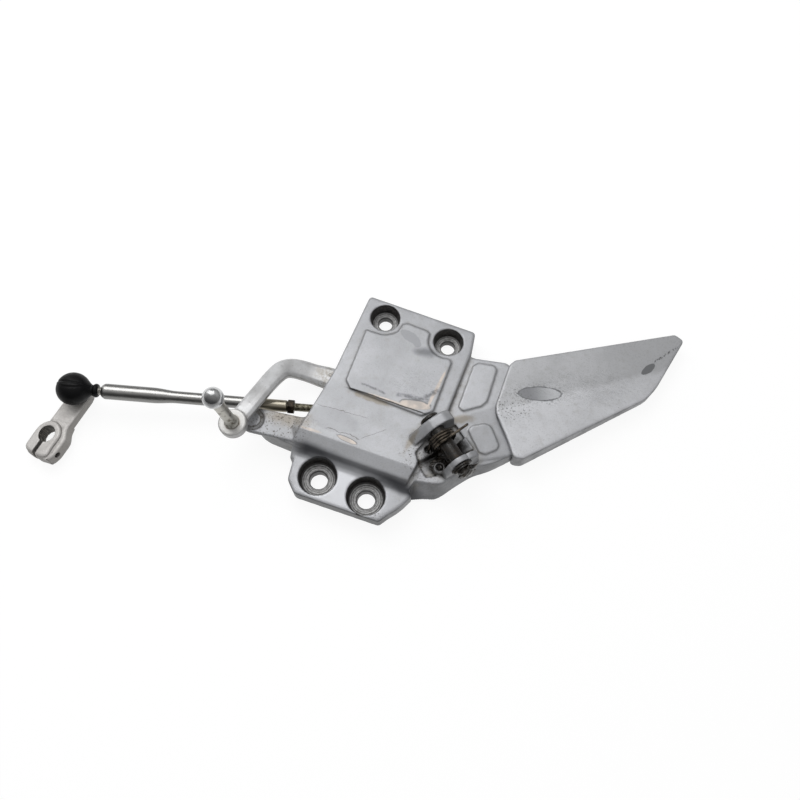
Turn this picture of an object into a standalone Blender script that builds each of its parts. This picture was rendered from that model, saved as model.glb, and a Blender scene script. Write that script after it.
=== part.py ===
"""Left footrest hanger of a motorcycle, with its heel guard, gear pedal, linkage rod and shift arm.

Frame: X runs along the two upper frame bolts towards the rear, Y runs up the machine and Z points outboard.
The origin lies midway between the upper frame bolts, on the machined back faces that meet the frame.
All lengths are metres.
"""

import math

import bmesh
import bpy
from mathutils import Matrix, Vector

# Fits between pieces
seat_gap = 0.0003
running_gap = 0.0004
bearing_gap = 0.00008

# Frame bolts
upper_bolt_span = 0.0533
lower_bolt_span = 0.0384
lower_bolt_shift = -0.0018
bolt_drop = 0.1383
upper_hole = 0.0110
upper_counterbore = 0.0236
upper_counterbore_floor = 0.0200
upper_floor_height = 0.0070
upper_boss = 0.0290
lower_hole = 0.0134
lower_counterbore = 0.0288
lower_counterbore_floor = 0.0276
lower_floor_height = 0.0092
lower_boss = 0.0270
frame_land = 0.0120
frame_land_shift = 0.0030

# Main block
face_height = 0.0185
face_slope = math.radians(5.4)
skin = 0.0045
wall = 0.0050
wall_foot = 0.0015
edge_round = 0.0016
pad_rise = 0.0016
block_top_margin = 0.0152
block_side_margin = 0.0178
lip_tilt = math.radians(3.0)
lip_from_bolts = 0.0291
lip_width = 0.0100
lip_drop = 0.0030
rib = 0.0035
rib_foot = 0.0060
window_top = 0.0440
window_bottom = 0.1040

# Lower flange
flange_top = 0.0197
flange_foot = 0.0060
flange_edge = 0.0142

# Footrest clevis
clevis_x = 0.0583
clevis_y = -0.0835
clevis_angle = math.radians(-35.0)
clevis_gap = 0.0272
upper_lug = 0.0088
lower_lug = 0.0052
lug_top = 0.0410
pin_height = 0.0330
pin_diameter = 0.0098
pin_head = 0.0146
pin_head_thickness = 0.0022
pocket_floor = 0.0175
mouth_floor = 0.0212
stop_height = 0.0245
stop_boss = 0.0096
stop_hole = 0.0050
skirt_foot = 0.0008
spring_hole = 0.0062
spring_hole_top = 0.0250
spring_hole_depth = 0.0065
spring_hole_place = (-0.0065, -0.0115)

# Neck and heel guard
neck_crest = 0.0203
neck_fall = 0.070
neck_foot = 0.0015
guard_crest = 0.0252
guard_tail = 0.0135
guard_length = 0.1620
guard_fall = 0.065
guard_crest_sag = 0.0085
guard_skin = 0.0034
guard_wall = 0.0040
guard_foot = 0.0030
guard_tail_foot = 0.0098
guard_boss = 0.0120
guard_screw = 0.0060
guard_screw_head = 0.0104
guard_screw_head_height = 0.0034

# Forward arm of the casting
arm_top = 0.0244
arm_thickness = 0.0042
arm_eye_x = -0.0828
arm_eye_y = -0.1181
arm_eye_radius = 0.0098
arm_groove_outer = 0.0084
arm_groove_inner = 0.0056
arm_groove_depth = 0.0014
gusset_foot = 0.0015
gusset_wall = 0.0045

# Gear pedal
pivot_x = -0.0260
pivot_y = -0.0610
pedal_hub = 0.0220
pedal_hub_foot = 0.0044
pedal_hub_top = 0.0148
pedal_thickness = 0.0084
pedal_width = 0.0168
bush_outer = 0.0120
pivot_bolt = 0.0080
pivot_bolt_head = 0.0150
pivot_bolt_head_height = 0.0019
pivot_washer = 0.0168
washer_thickness = 0.0012
pivot_boss = 0.0170
toe_x = -0.0911
toe_y = -0.1304
toe_height = 0.0400
toe_boss = 0.0210
toe_boss_thickness = 0.0075
toe_lean = math.radians(4.6)
toe_lean_heading = math.radians(217.0)
peg_diameter = 0.0088
peg_ball = 0.0150
peg_length = 0.0500

# Linkage
rear_ball_x = -0.0310
rear_ball_y = -0.0840
rear_ball_z = 0.0130
rod_heading = math.radians(198.93)
linkage_reach = 0.1991
front_ball_z = 0.0220
ball_diameter = 0.0090
ball_play = 0.0003
housing_diameter = 0.0142
housing_above = 0.0062
housing_below = 0.0033
housing_neck = 0.0066
stud_diameter = 0.0058
stud_neck = 0.0046
stud_collar = 0.0088
stud_collar_thickness = 0.0014
lever_foot = 0.0006
lever_thickness = 0.0036
lever_width = 0.0120
rod_thick = 0.0118
rod_slim = 0.0092
rod_end_face = 0.0080
rod_rear_start = 0.0372
rod_front_start = 0.0215
rod_thick_length = 0.0389
rod_taper = 0.0180
rod_thread_depth = 0.0120
nut_flats = 0.0100
nut_thickness = 0.0049
boot_wall = 0.0013
boot_hole = 0.0050
front_boot_radius = 0.0127
front_boot_height = 0.0112
front_boot_neck = 0.0142
rear_boot_radius = 0.0112
rear_boot_height = 0.0083
rear_boot_neck = 0.0108
boot_neck = 0.0042
boot_lip = 0.0052

# Shift arm
shift_length = 0.0377
shift_offset = -0.0021
shift_heading = math.radians(264.4)
shift_roll = math.radians(11.0)
shift_drop = 0.0110
shift_thickness = 0.0068
shift_strap_half = 0.0090
shift_hub_top = 0.0030
shift_hub_foot = 0.0086
shift_collar = 0.0112
spline_bore = 0.0138
spline_teeth = 30
spline_depth = 0.0005
pinch_slit = 0.0032
pinch_hole = 0.0046
pinch_place = 0.0473

# Spring
spring_wire = 0.0019
spring_coil = 0.0200
spring_turns = 3.25
spring_leg = 0.0195
sleeve_outer = 0.0115

arc_step = math.radians(20.0)
weld = 0.000005
turn_segments = 28

face_rise = math.tan(face_slope)
upper_left = Vector((-upper_bolt_span / 2, 0.0))
upper_right = Vector((upper_bolt_span / 2, 0.0))
lower_left = Vector((lower_bolt_shift - lower_bolt_span / 2, -bolt_drop))
lower_right = Vector((lower_bolt_shift + lower_bolt_span / 2, -bolt_drop))
clevis_centre = Vector((clevis_x, clevis_y))
pin_along = Vector((math.cos(clevis_angle), math.sin(clevis_angle)))
pin_across = Vector((-math.sin(clevis_angle), math.cos(clevis_angle)))
bolt_tip = face_height + face_rise * -pivot_y - 0.0010


def clear_objects():
    for item in list(bpy.data.objects):
        bpy.data.objects.remove(item, do_unlink=True)


def finish(name, colour, roughness, metallic):
    made = bpy.data.materials.new(name)
    made.use_nodes = True
    shader = made.node_tree.nodes["Principled BSDF"]
    shader.inputs["Base Color"].default_value = (*colour, 1.0)
    shader.inputs["Roughness"].default_value = roughness
    shader.inputs["Metallic"].default_value = metallic
    return made


def rounded(corners):
    """Outline through (x, y, radius) corners, with an arc of that radius at each one."""
    points = []
    for i, (x, y, radius) in enumerate(corners):
        here = Vector((x, y))
        back = (Vector(corners[i - 1][:2]) - here).normalized()
        ahead = (Vector(corners[(i + 1) % len(corners)][:2]) - here).normalized()
        half = back.angle(ahead) / 2
        if radius == 0.0 or half > math.pi / 2 - 0.01:
            points.append(here)
            continue
        centre = here + (back + ahead).normalized() * radius / math.sin(half)
        start = here + back * radius / math.tan(half) - centre
        end = here + ahead * radius / math.tan(half) - centre
        turn = start.angle_signed(end)
        steps = max(1, math.ceil(abs(turn) / arc_step))
        first = math.atan2(start.y, start.x)
        for k in range(steps + 1):
            angle = first - turn * k / steps
            points.append(centre + radius * Vector((math.cos(angle), math.sin(angle))))
    return points


def arc(centre, radius, start, end):
    steps = max(1, math.ceil(abs(end - start) / arc_step))
    angles = [start + (end - start) * k / steps for k in range(steps + 1)]
    return [centre + radius * Vector((math.cos(a), math.sin(a))) for a in angles]


def smooth_line(points, spans):
    """Curve through the points, each stretch split in equal spans of a Catmull-Rom cubic."""
    made = []
    for i in range(len(points) - 1):
        before = points[max(0, i - 1)]
        first = points[i]
        second = points[i + 1]
        after = points[min(len(points) - 1, i + 2)]
        for k in range(spans):
            t = k / spans
            curve = first * 2 + (second - before) * t
            curve += (before * 2 - first * 5 + second * 4 - after) * t ** 2
            curve += (first * 3 - before - second * 3 + after) * t ** 3
            made.append(curve / 2)
    made.append(points[-1])
    return made


def circle(centre, radius, count=turn_segments):
    turns = [math.tau * k / count for k in range(count)]
    return [centre + radius * Vector((math.cos(a), math.sin(a))) for a in turns]


def inset(points, depth):
    """Outline moved inwards by depth, for points that run anticlockwise."""
    moved = []
    for i, here in enumerate(points):
        first = (here - points[i - 1]).normalized()
        second = (points[(i + 1) % len(points)] - here).normalized()
        left_first = Vector((-first.y, first.x))
        left_second = Vector((-second.y, second.x))
        share = depth / max(0.2, 1.0 + left_first.dot(left_second))
        moved.append(here + (left_first + left_second) * share)
    return moved


def shrunk(corners, depth):
    """Corners of an anticlockwise outline moved inwards by depth, with radii that keep the wall even."""
    moved = inset([Vector(corner[:2]) for corner in corners], depth)
    made = []
    for i, (x, y, radius) in enumerate(corners):
        here = Vector((x, y))
        back = here - Vector(corners[i - 1][:2])
        ahead = Vector(corners[(i + 1) % len(corners)][:2]) - here
        outward = back.x * ahead.y - back.y * ahead.x > 0.0
        inner = radius - depth if outward else radius + depth
        made.append((moved[i].x, moved[i].y, max(0.0, inner) if radius > 0.0 else 0.0))
    return made


def constant(value):
    return lambda x, y: value


def slab(outline, bottom, top, edge=0.0, draft=0.0, cuts=(), edge_steps=2):
    """Closed plate between two heights, each a number or a function of x and y, with a rounded upper edge.

    draft widens the foot. cuts are vertical planes, as point and normal, where the faces fold.
    """
    low = bottom if callable(bottom) else constant(bottom)
    high = top if callable(top) else constant(top)
    levels = [(-draft, -1.0)]
    if edge > 0.0:
        for k in range(edge_steps + 1):
            angle = math.pi / 2 * k / edge_steps
            levels.append((edge * (1 - math.cos(angle)), 1.0 - edge * (1 - math.sin(angle))))
    else:
        levels.append((0.0, 1.0))
    shape = bmesh.new()
    rings = []
    for depth, height in levels:
        ring = inset(outline, depth) if depth else outline
        rings.append([shape.verts.new((p.x, p.y, height)) for p in ring])
    shape.faces.new(list(reversed(rings[0])))
    shape.faces.new(rings[-1])
    for lower, upper in zip(rings, rings[1:]):
        for i in range(len(lower)):
            j = (i + 1) % len(lower)
            shape.faces.new((lower[i], lower[j], upper[j], upper[i]))
    for point, normal in cuts:
        every = shape.verts[:] + shape.edges[:] + shape.faces[:]
        bmesh.ops.bisect_plane(
            shape, geom=every, dist=1e-6, plane_co=(*point, 0.0), plane_no=(*normal, 0.0)
        )
    for vert in shape.verts:
        x, y, height = vert.co
        vert.co.z = high(x, y) + height - 1.0 if height > 0.0 else low(x, y) + height + 1.0
    if cuts:
        bmesh.ops.triangulate(shape, faces=shape.faces[:])
    return to_object(shape)


def turned(profile, segments=turn_segments, closed=False):
    """Solid of revolution about Z from (radius, height) points, upwards along the outer side.

    A closed profile is a loop away from the axis, which leaves a bore.
    """
    shape = bmesh.new()
    rings = []
    for radius, height in profile:
        if radius == 0.0:
            rings.append([shape.verts.new((0.0, 0.0, height))])
            continue
        turns = [math.tau * k / segments for k in range(segments)]
        rings.append([
            shape.verts.new((radius * math.cos(a), radius * math.sin(a), height)) for a in turns
        ])
    pairs = list(zip(rings, rings[1:]))
    if closed:
        pairs.append((rings[-1], rings[0]))
    for lower, upper in pairs:
        for i in range(segments):
            j = (i + 1) % segments
            if len(lower) == 1:
                shape.faces.new((lower[0], upper[j], upper[i]))
            elif len(upper) == 1:
                shape.faces.new((lower[i], lower[j], upper[0]))
            else:
                shape.faces.new((lower[i], lower[j], upper[j], upper[i]))
    if not closed and len(rings[0]) > 1:
        shape.faces.new(list(reversed(rings[0])))
    if not closed and len(rings[-1]) > 1:
        shape.faces.new(rings[-1])
    bmesh.ops.recalc_face_normals(shape, faces=shape.faces[:])
    return to_object(shape)


def tube(path, radius, sides=8):
    """Round wire along a path of points, with flat ends."""
    shape = bmesh.new()
    rings = []
    side = None
    for i, here in enumerate(path):
        ahead = (path[min(i + 1, len(path) - 1)] - path[max(i - 1, 0)]).normalized()
        if side is None:
            side = ahead.orthogonal().normalized()
        side = (side - ahead * side.dot(ahead)).normalized()
        other = ahead.cross(side)
        turns = [math.tau * k / sides for k in range(sides)]
        rings.append([
            shape.verts.new(here + radius * (math.cos(a) * side + math.sin(a) * other)) for a in turns
        ])
    shape.faces.new(list(reversed(rings[0])))
    shape.faces.new(rings[-1])
    for lower, upper in zip(rings, rings[1:]):
        for i in range(sides):
            j = (i + 1) % sides
            shape.faces.new((lower[i], lower[j], upper[j], upper[i]))
    bmesh.ops.recalc_face_normals(shape, faces=shape.faces[:])
    return to_object(shape)


def loft(rings):
    """Closed skin through rings of equally many points, with flat ends."""
    shape = bmesh.new()
    rows = [[shape.verts.new(p) for p in ring] for ring in rings]
    shape.faces.new(list(reversed(rows[0])))
    shape.faces.new(rows[-1])
    for lower, upper in zip(rows, rows[1:]):
        for i in range(len(lower)):
            j = (i + 1) % len(lower)
            shape.faces.new((lower[i], lower[j], upper[j], upper[i]))
    bmesh.ops.triangulate(shape, faces=shape.faces[:])
    bmesh.ops.recalc_face_normals(shape, faces=shape.faces[:])
    return to_object(shape)


def to_object(shape):
    mesh = bpy.data.meshes.new("blank")
    shape.to_mesh(mesh)
    shape.free()
    made = bpy.data.objects.new("blank", mesh)
    bpy.context.collection.objects.link(made)
    return made


def placed(item, matrix):
    item.data.transform(matrix)
    return item


def upright(x, y, z=0.0):
    return Matrix.Translation((x, y, z))


def combined(base, operation, tools, solver="MANIFOLD"):
    """Boolean of base with each tool in turn, applied, after which the tools are gone."""
    for tool in tools:
        cut = base.modifiers.new("cut", "BOOLEAN")
        cut.operation = operation
        cut.solver = solver
        cut.object = tool
    bpy.context.view_layer.update()
    graph = bpy.context.evaluated_depsgraph_get()
    mesh = bpy.data.meshes.new_from_object(base.evaluated_get(graph))
    base.modifiers.clear()
    if solver == "EXACT":
        shape = bmesh.new()
        shape.from_mesh(mesh)
        bmesh.ops.remove_doubles(shape, verts=shape.verts[:], dist=weld)
        bmesh.ops.dissolve_degenerate(shape, edges=shape.edges[:], dist=weld)
        shape.to_mesh(mesh)
        shape.free()
    base.data = mesh
    for tool in tools:
        bpy.data.objects.remove(tool, do_unlink=True)
    return base


def joined(base, *tools, solver="MANIFOLD"):
    return combined(base, "UNION", tools, solver)


def cut_by(base, *tools, solver="MANIFOLD"):
    return combined(base, "DIFFERENCE", tools, solver)


def named(item, name, look, origin=None, sharp=30.0):
    item.name = name
    item.data.name = name
    item.data.materials.clear()
    item.data.materials.append(look)
    item.data.shade_smooth()
    item.data.set_sharp_from_angle(angle=math.radians(sharp))
    if origin is not None:
        item.data.transform(Matrix.Translation(-origin))
        item.location = origin
    return item


def pin_matrix(along, height):
    """Local Z along the footrest pin, local X across it and local Y outboard."""
    point = clevis_centre + pin_along * along
    return Matrix((
        (pin_across.x, 0.0, pin_along.x, point.x),
        (pin_across.y, 0.0, pin_along.y, point.y),
        (0.0, 1.0, 0.0, height),
        (0.0, 0.0, 0.0, 1.0),
    ))


def clevis_point(along, across):
    return clevis_centre + pin_along * along + pin_across * across


def on_clevis(corners):
    """Corners given along and across the pin, in the frame's own directions."""
    return [(*clevis_point(along, across), radius) for along, across, radius in corners]


# Heights of the casting's outer surfaces

lip_line = bolt_drop - lip_from_bolts
lip_normal = Vector((math.sin(lip_tilt), -math.cos(lip_tilt)))
lip_height = face_height + face_rise * lip_line
lip_profile = [
    (lip_line, lip_height),
    (lip_line + lip_width, lip_height - lip_drop),
    (lip_line + lip_width + 0.0030, flange_top + 0.0026),
    (lip_line + lip_width + 0.0060, flange_top + 0.0007),
    (lip_line + lip_width + 0.0085, flange_top),
    (lip_line + lip_width + 0.0120, flange_top - 0.0006),
]


def block_top(x, y):
    along = lip_normal.x * x + lip_normal.y * y
    if along <= lip_line:
        return lip_height - face_rise * (lip_line - along)
    for (start, high), (end, low) in zip(lip_profile, lip_profile[1:]):
        if along <= end:
            return high + (low - high) * (along - start) / (end - start)
    return lip_profile[-1][1]


def lip_cuts():
    return [(lip_normal * along, lip_normal) for along, height in lip_profile[:-1]]


neck_axis_angle = math.radians(41.6)
neck_axis = Vector((math.cos(neck_axis_angle), math.sin(neck_axis_angle)))
neck_side = Vector((-neck_axis.y, neck_axis.x))
neck_start = clevis_centre + Vector((-0.0033, 0.0257))


def neck_top(x, y):
    off = neck_side.dot(Vector((x, y)) - neck_start)
    return neck_crest - neck_fall * abs(off)


guard_angle = math.radians(44.5)
guard_axis = Vector((math.cos(guard_angle), math.sin(guard_angle)))
guard_side = Vector((-guard_axis.y, guard_axis.x))
guard_start = clevis_centre + Vector((0.0210, 0.0455))


def guard_run(x, y):
    place = Vector((x, y)) - guard_start
    along = guard_axis.dot(place)
    share = min(1.0, max(0.0, along / guard_length))
    bend = -guard_crest_sag * 4 * share * (1 - share)
    return share, guard_side.dot(place) - bend


def guard_top(x, y):
    share, off = guard_run(x, y)
    soft = math.sqrt(off * off + 0.0030 ** 2)
    crest = guard_crest + (guard_tail - guard_crest) * share
    return crest - guard_fall * (1.0 - 0.6 * share) * soft


def guard_bottom(x, y):
    share, off = guard_run(x, y)
    return guard_foot + (guard_tail_foot - guard_foot) * share


# Outlines of the casting

block_left = upper_left.x - block_side_margin - 0.0015
block_right = upper_right.x + block_side_margin - 0.0015


def lip_point(x, beyond):
    along = lip_line + lip_width + beyond
    return Vector((x, (lip_normal.x * x - along) / -lip_normal.y))


def block_corners():
    foot_left = lip_point(block_left, 0.0120)
    foot_right = lip_point(block_right + 0.0017, 0.0120)
    return [
        (block_left, block_top_margin - 0.0012, 0.0030),
        (block_left + 0.0022, -0.0580, 0.0900),
        (block_left - 0.0025, lip_point(block_left, 0.0).y, 0.0060),
        (foot_left.x, foot_left.y, 0.0020),
        (foot_right.x, foot_right.y, 0.0),
        (block_right + 0.0055, clevis_y + 0.0250, 0.0),
        (block_right + 0.0036, -0.0010, 0.0060),
        (block_right, block_top_margin + 0.0013, 0.0030),
    ]


def flange_outline():
    left = lower_left.x
    right = lower_right.x
    foot = -bolt_drop - flange_edge
    return rounded([
        (left - 0.0243, -bolt_drop + 0.0150, 0.0),
        (left - 0.0195, -bolt_drop - 0.0105, 0.0060),
        (left - 0.0105, foot - 0.0040, 0.0050),
        (right + 0.0160, foot + 0.0003, 0.0036),
        (right + 0.0200, foot + 0.0072, 0.0100),
        (right + 0.0262, foot + 0.0160, 0.0260),
        (right + 0.0306, foot + 0.0268, 0.0),
        (right + 0.0285, -bolt_drop + 0.0150, 0.0),
    ])


def on_pin(places):
    return [clevis_point(along, across) for along, across in places]


def lower_wall():
    """Wall that runs from the flange round the clevis to the neck, wider at its foot, hollow below the floor."""
    foot = on_pin([
        (0.0135, -0.0407),
        (0.0179, -0.0319),
        (0.0226, -0.0248),
        (0.0235, -0.0179),
        (0.0230, -0.0094),
        (0.0228, 0.0018),
        (0.0233, 0.0096),
        (0.0249, 0.0160),
        (0.0264, 0.0227),
        (0.0272, 0.0305),
        (0.0278, 0.0365),
    ])
    rim = on_pin([
        (0.0052, -0.0349),
        (0.0119, -0.0279),
        (0.0178, -0.0205),
        (0.0198, -0.0160),
        (0.0198, -0.0095),
        (0.0198, 0.0018),
        (0.0200, 0.0096),
        (0.0223, 0.0155),
        (0.0247, 0.0222),
        (0.0264, 0.0300),
        (0.0270, 0.0350),
    ])
    rim_height = [0.0213] * 6 + [0.0198, 0.0174, 0.0168, 0.0166, 0.0164]
    inner = on_pin([(0.0169, 0.0370), (-0.0064, 0.0120), (-0.0043, -0.0232), (0.0079, -0.0400)])
    inner_height = [0.0160, 0.0170, 0.0200, 0.0190]
    low = smooth_line(foot, 3)
    high = smooth_line([p.to_3d() + Vector((0, 0, z)) for p, z in zip(rim, rim_height)], 3)
    rings = []
    for share, height, margin in ((0.0, 0.0, 0.0), (0.55, 0.52, 0.0), (1.0, 0.96, 0.0), (1.0, 1.0, 0.0007)):
        ring = []
        for below, above in zip(low, high):
            flat = below.lerp(above.to_2d(), share)
            inward = (clevis_centre - flat).normalized() * margin
            z = skirt_foot + (above.z - skirt_foot) * height
            ring.append(Vector((flat.x + inward.x, flat.y + inward.y, z)))
        for point, top in zip(inner, inner_height):
            ring.append(Vector((point.x, point.y, skirt_foot + (top - skirt_foot) * height)))
        rings.append(ring)
    hollow = slab(inset(foot + inner, wall + 0.0028), -0.01, pocket_floor - skin)
    return cut_by(loft(rings), hollow)


def neck_corners():
    left = block_right - 0.0060
    return [
        (left, -0.0035, 0.0),
        (left, clevis_y + 0.0080, 0.0),
        (clevis_x + 0.0190, clevis_y - 0.0020, 0.0),
        (clevis_x + 0.0440, clevis_y + 0.0143, 0.0),
        (clevis_x + 0.0600, clevis_y + 0.0320, 0.0040),
        (clevis_x + 0.0380, clevis_y + 0.0560, 0.0060),
        (clevis_x + 0.0330, clevis_y + 0.0790, 0.0040),
        (clevis_x + 0.0160, clevis_y + 0.0850, 0.0060),
        (block_right + 0.0080, clevis_y + 0.0796, 0.0040),
    ]


def main_pad_outline():
    scallop = upper_boss / 2 + 0.0015
    right_arc = arc(upper_right, scallop, math.radians(-66), math.radians(-160))
    left_arc = arc(upper_left, scallop, math.radians(-27), math.radians(-94))
    lower = rounded([
        (upper_left.x - 0.0090, -0.0163, 0.0),
        (upper_left.x - 0.0053, -0.0625, 0.0020),
        (upper_left.x + 0.0010, -0.0682, 0.0020),
        (upper_right.x + 0.0052, -0.0672, 0.0020),
        (upper_right.x + 0.0115, -0.0605, 0.0020),
        (upper_right.x + 0.0090, -0.0172, 0.0),
    ])
    bridge = [
        Vector((upper_right.x - 0.0158, 0.0002)),
        Vector((upper_right.x - 0.0187, 0.0016)),
        Vector((upper_left.x + 0.0181, 0.0016)),
        Vector((upper_left.x + 0.0150, -0.0006)),
    ]
    return lower + right_arc + bridge + left_arc


def neck_pads():
    upper = rounded([
        (clevis_x - 0.0064, clevis_y + 0.0720, 0.0020),
        (clevis_x - 0.0044, clevis_y + 0.0356, 0.0020),
        (clevis_x - 0.0002, clevis_y + 0.0336, 0.0020),
        (clevis_x + 0.0111, clevis_y + 0.0426, 0.0025),
        (clevis_x + 0.0138, clevis_y + 0.0481, 0.0025),
        (clevis_x + 0.0113, clevis_y + 0.0756, 0.0025),
        (clevis_x + 0.0081, clevis_y + 0.0781, 0.0025),
        (clevis_x - 0.0035, clevis_y + 0.0758, 0.0025),
    ])
    lower = rounded([
        (clevis_x + 0.0089, clevis_y + 0.0211, 0.0020),
        (clevis_x + 0.0225, clevis_y + 0.0088, 0.0020),
        (clevis_x + 0.0276, clevis_y + 0.0089, 0.0020),
        (clevis_x + 0.0343, clevis_y + 0.0161, 0.0020),
        (clevis_x + 0.0340, clevis_y + 0.0197, 0.0025),
        (clevis_x + 0.0236, clevis_y + 0.0306, 0.0030),
        (clevis_x + 0.0183, clevis_y + 0.0307, 0.0030),
        (clevis_x + 0.0108, clevis_y + 0.0256, 0.0025),
    ])
    return upper, lower


def lug_outline(reach_low, reach_high, top, ramp_run, ramp_fall):
    """Arch of a clevis lug, across the pin and outboard, measured from the pin, with a ramp on the low side."""
    crown = top - pin_height
    foot = skirt_foot + 0.006 - pin_height
    return rounded([
        (-reach_low - 0.0020, foot, 0.0),
        (reach_high + 0.0010, foot, 0.0),
        (reach_high, crown - 0.0050, 0.0060),
        (reach_high - 0.0060, crown, 0.0060),
        (-reach_low + ramp_run, crown, ramp_run * 0.62),
        (-reach_low, crown - ramp_fall, 0.0040),
    ])


def bolt_holes(casting):
    cutters = []
    for centre in (upper_left, upper_right):
        rim = upper_counterbore / 2
        floor = upper_counterbore_floor / 2
        reach = face_height + 0.004
        slope = (rim - floor) / (face_height - upper_floor_height)
        rim_at_reach = floor + slope * (reach - upper_floor_height)
        sink = turned([
            (0, -0.002),
            (upper_hole / 2, -0.002),
            (upper_hole / 2, upper_floor_height),
            (floor, upper_floor_height),
            (rim_at_reach, reach),
            (0, reach),
        ])
        cutters.append(placed(sink, upright(*centre)))
    for centre in (lower_left, lower_right):
        floor = lower_counterbore_floor / 2
        rim = lower_counterbore / 2
        reach = flange_top + 0.030
        sink = turned([
            (0, -0.002),
            (lower_hole / 2, -0.002),
            (lower_hole / 2, lower_floor_height),
            (floor, lower_floor_height),
            (rim, flange_top),
            (rim, reach),
            (0, reach),
        ])
        cutters.append(placed(sink, upright(*centre)))
    return cut_by(casting, *cutters)


def rib_wall(start, end, thickness):
    along = (end - start).normalized()
    side = Vector((-along.y, along.x)) * thickness / 2
    outline = [start - side, end - side, end + side, start + side]
    return slab(outline, rib_foot, lambda x, y: block_top(x, y) - skin / 2, cuts=lip_cuts()[:1])


def make_block():
    corners = block_corners()
    block = slab(rounded(corners), wall_foot, block_top, edge_round, cuts=lip_cuts(), edge_steps=3)
    hollow = slab(
        rounded(shrunk(corners, wall)), -0.01, lambda x, y: block_top(x, y) - skin, cuts=lip_cuts()
    )
    block = cut_by(block, hollow)
    window = slab(
        [
            Vector((block_left - 0.02, -window_bottom)),
            Vector((block_left + 0.02, -window_bottom)),
            Vector((block_left + 0.02, -window_top)),
            Vector((block_left - 0.02, -window_top)),
        ],
        -0.01,
        lambda x, y: block_top(x, y) - skin,
    )
    block = cut_by(block, window)
    upper_posts = [
        placed(turned([(0, 0), (upper_boss / 2, 0), (upper_boss / 2, 0.0155), (0, 0.0155)]), upright(*centre))
        for centre in (upper_left, upper_right)
    ]
    land_half = frame_land / 2
    land = slab(
        [
            upper_left + Vector((0.0, frame_land_shift - land_half)),
            upper_right + Vector((0.0, frame_land_shift - land_half)),
            upper_right + Vector((0.0, frame_land_shift + land_half)),
            upper_left + Vector((0.0, frame_land_shift + land_half)),
        ],
        0.0,
        lambda x, y: block_top(x, y) - skin / 2,
    )
    ribs = [
        land,
        rib_wall(Vector((0.0, block_top_margin - 0.003)), Vector((0.0, -0.030)), rib),
        rib_wall(Vector((0.0, -0.030)), Vector((block_right + 0.001, -0.030)), rib),
        rib_wall(Vector((0.022, -0.031)), Vector((0.022, lower_right.y + 0.018)), rib),
    ]
    post_top = block_top(pivot_x, pivot_y) - skin / 2
    post = turned([
        (0, pedal_hub_top + seat_gap),
        (pivot_boss / 2, pedal_hub_top + seat_gap),
        (pivot_boss / 2, post_top),
        (0, post_top),
    ])
    return joined(block, *upper_posts, *ribs, placed(post, upright(pivot_x, pivot_y)))


def make_flange():
    flange = slab(flange_outline(), flange_foot, flange_top, edge_round)
    posts = [
        placed(turned([(0, 0), (lower_boss / 2, 0), (lower_boss / 2, 0.010), (0, 0.010)]), upright(*centre))
        for centre in (lower_left, lower_right)
    ]
    return joined(flange, *posts)


def forward_arm():
    eye = Vector((arm_eye_x, arm_eye_y))
    root_x = block_left + 0.0030
    nose = arc(eye, arm_eye_radius, math.radians(95), math.radians(275))
    upper_root = Vector((root_x, arm_eye_y + 0.0171))
    lower_root = Vector((root_x, arm_eye_y - 0.0034))
    outline = nose + [lower_root, upper_root]
    plate = slab(outline, arm_top - arm_thickness, arm_top, 0.0010)
    groove = turned(
        [
            (arm_groove_inner, arm_top - arm_groove_depth),
            (arm_groove_outer, arm_top - arm_groove_depth),
            (arm_groove_outer, arm_top + 0.002),
            (arm_groove_inner, arm_top + 0.002),
        ],
        closed=True,
    )
    plate = cut_by(plate, placed(groove, upright(*eye)))
    gusset_end = lower_root.x - 0.0300
    web = rounded([
        (gusset_end - 0.0040, arm_top - arm_thickness + 0.0010, 0.0),
        (gusset_end, gusset_foot + 0.0040, 0.0100),
        (gusset_end + 0.0050, gusset_foot, 0.0030),
        (lower_root.x + 0.0020, gusset_foot, 0.0),
        (lower_root.x + 0.0020, arm_top - 0.0015, 0.0),
        (gusset_end - 0.0040, arm_top - 0.0015, 0.0),
    ])
    web_solid = slab(web, 0.0, gusset_wall)
    stand = Matrix((
        (1.0, 0.0, 0.0, 0.0),
        (0.0, 0.0, 1.0, lower_root.y - 0.0030),
        (0.0, 1.0, 0.0, 0.0),
        (0.0, 0.0, 0.0, 1.0),
    ))
    web_solid = placed(web_solid, stand)
    web_solid.data.flip_normals()
    outer = block_left - 0.0095
    inner = block_left - 0.0008

    def blend_top(x, y):
        share = min(1.0, (x - outer) / (inner - outer))
        return (arm_top - 0.0006) * (1 - share) + (block_top(x, y) - 0.0012) * share

    blend = slab(
        [
            Vector((outer, lower_root.y + 0.0002)),
            Vector((inner, lower_root.y + 0.0004)),
            Vector((inner, upper_root.y - 0.0008)),
            Vector((outer, upper_root.y - 0.0032)),
        ],
        arm_top - arm_thickness,
        blend_top,
        cuts=lip_cuts()[:2],
    )
    return joined(plate, web_solid, blend)


def clevis_lugs():
    upper = slab(lug_outline(0.0235, 0.0155, lug_top, 0.0205, 0.0165), 0.0, upper_lug, 0.0022, edge_steps=3)
    turn = Matrix.Rotation(math.pi, 4, "Y")
    upper = placed(upper, Matrix.Scale(-1, 4, (1, 0, 0)) @ turn)
    upper.data.flip_normals()
    upper = placed(upper, pin_matrix(-clevis_gap / 2, pin_height))
    lower = slab(lug_outline(0.0125, 0.0160, lug_top - 0.0035, 0.0050, 0.0090), 0.0, lower_lug, 0.0016, edge_steps=3)
    lower = placed(lower, pin_matrix(clevis_gap / 2, pin_height))
    return upper, lower


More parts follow.
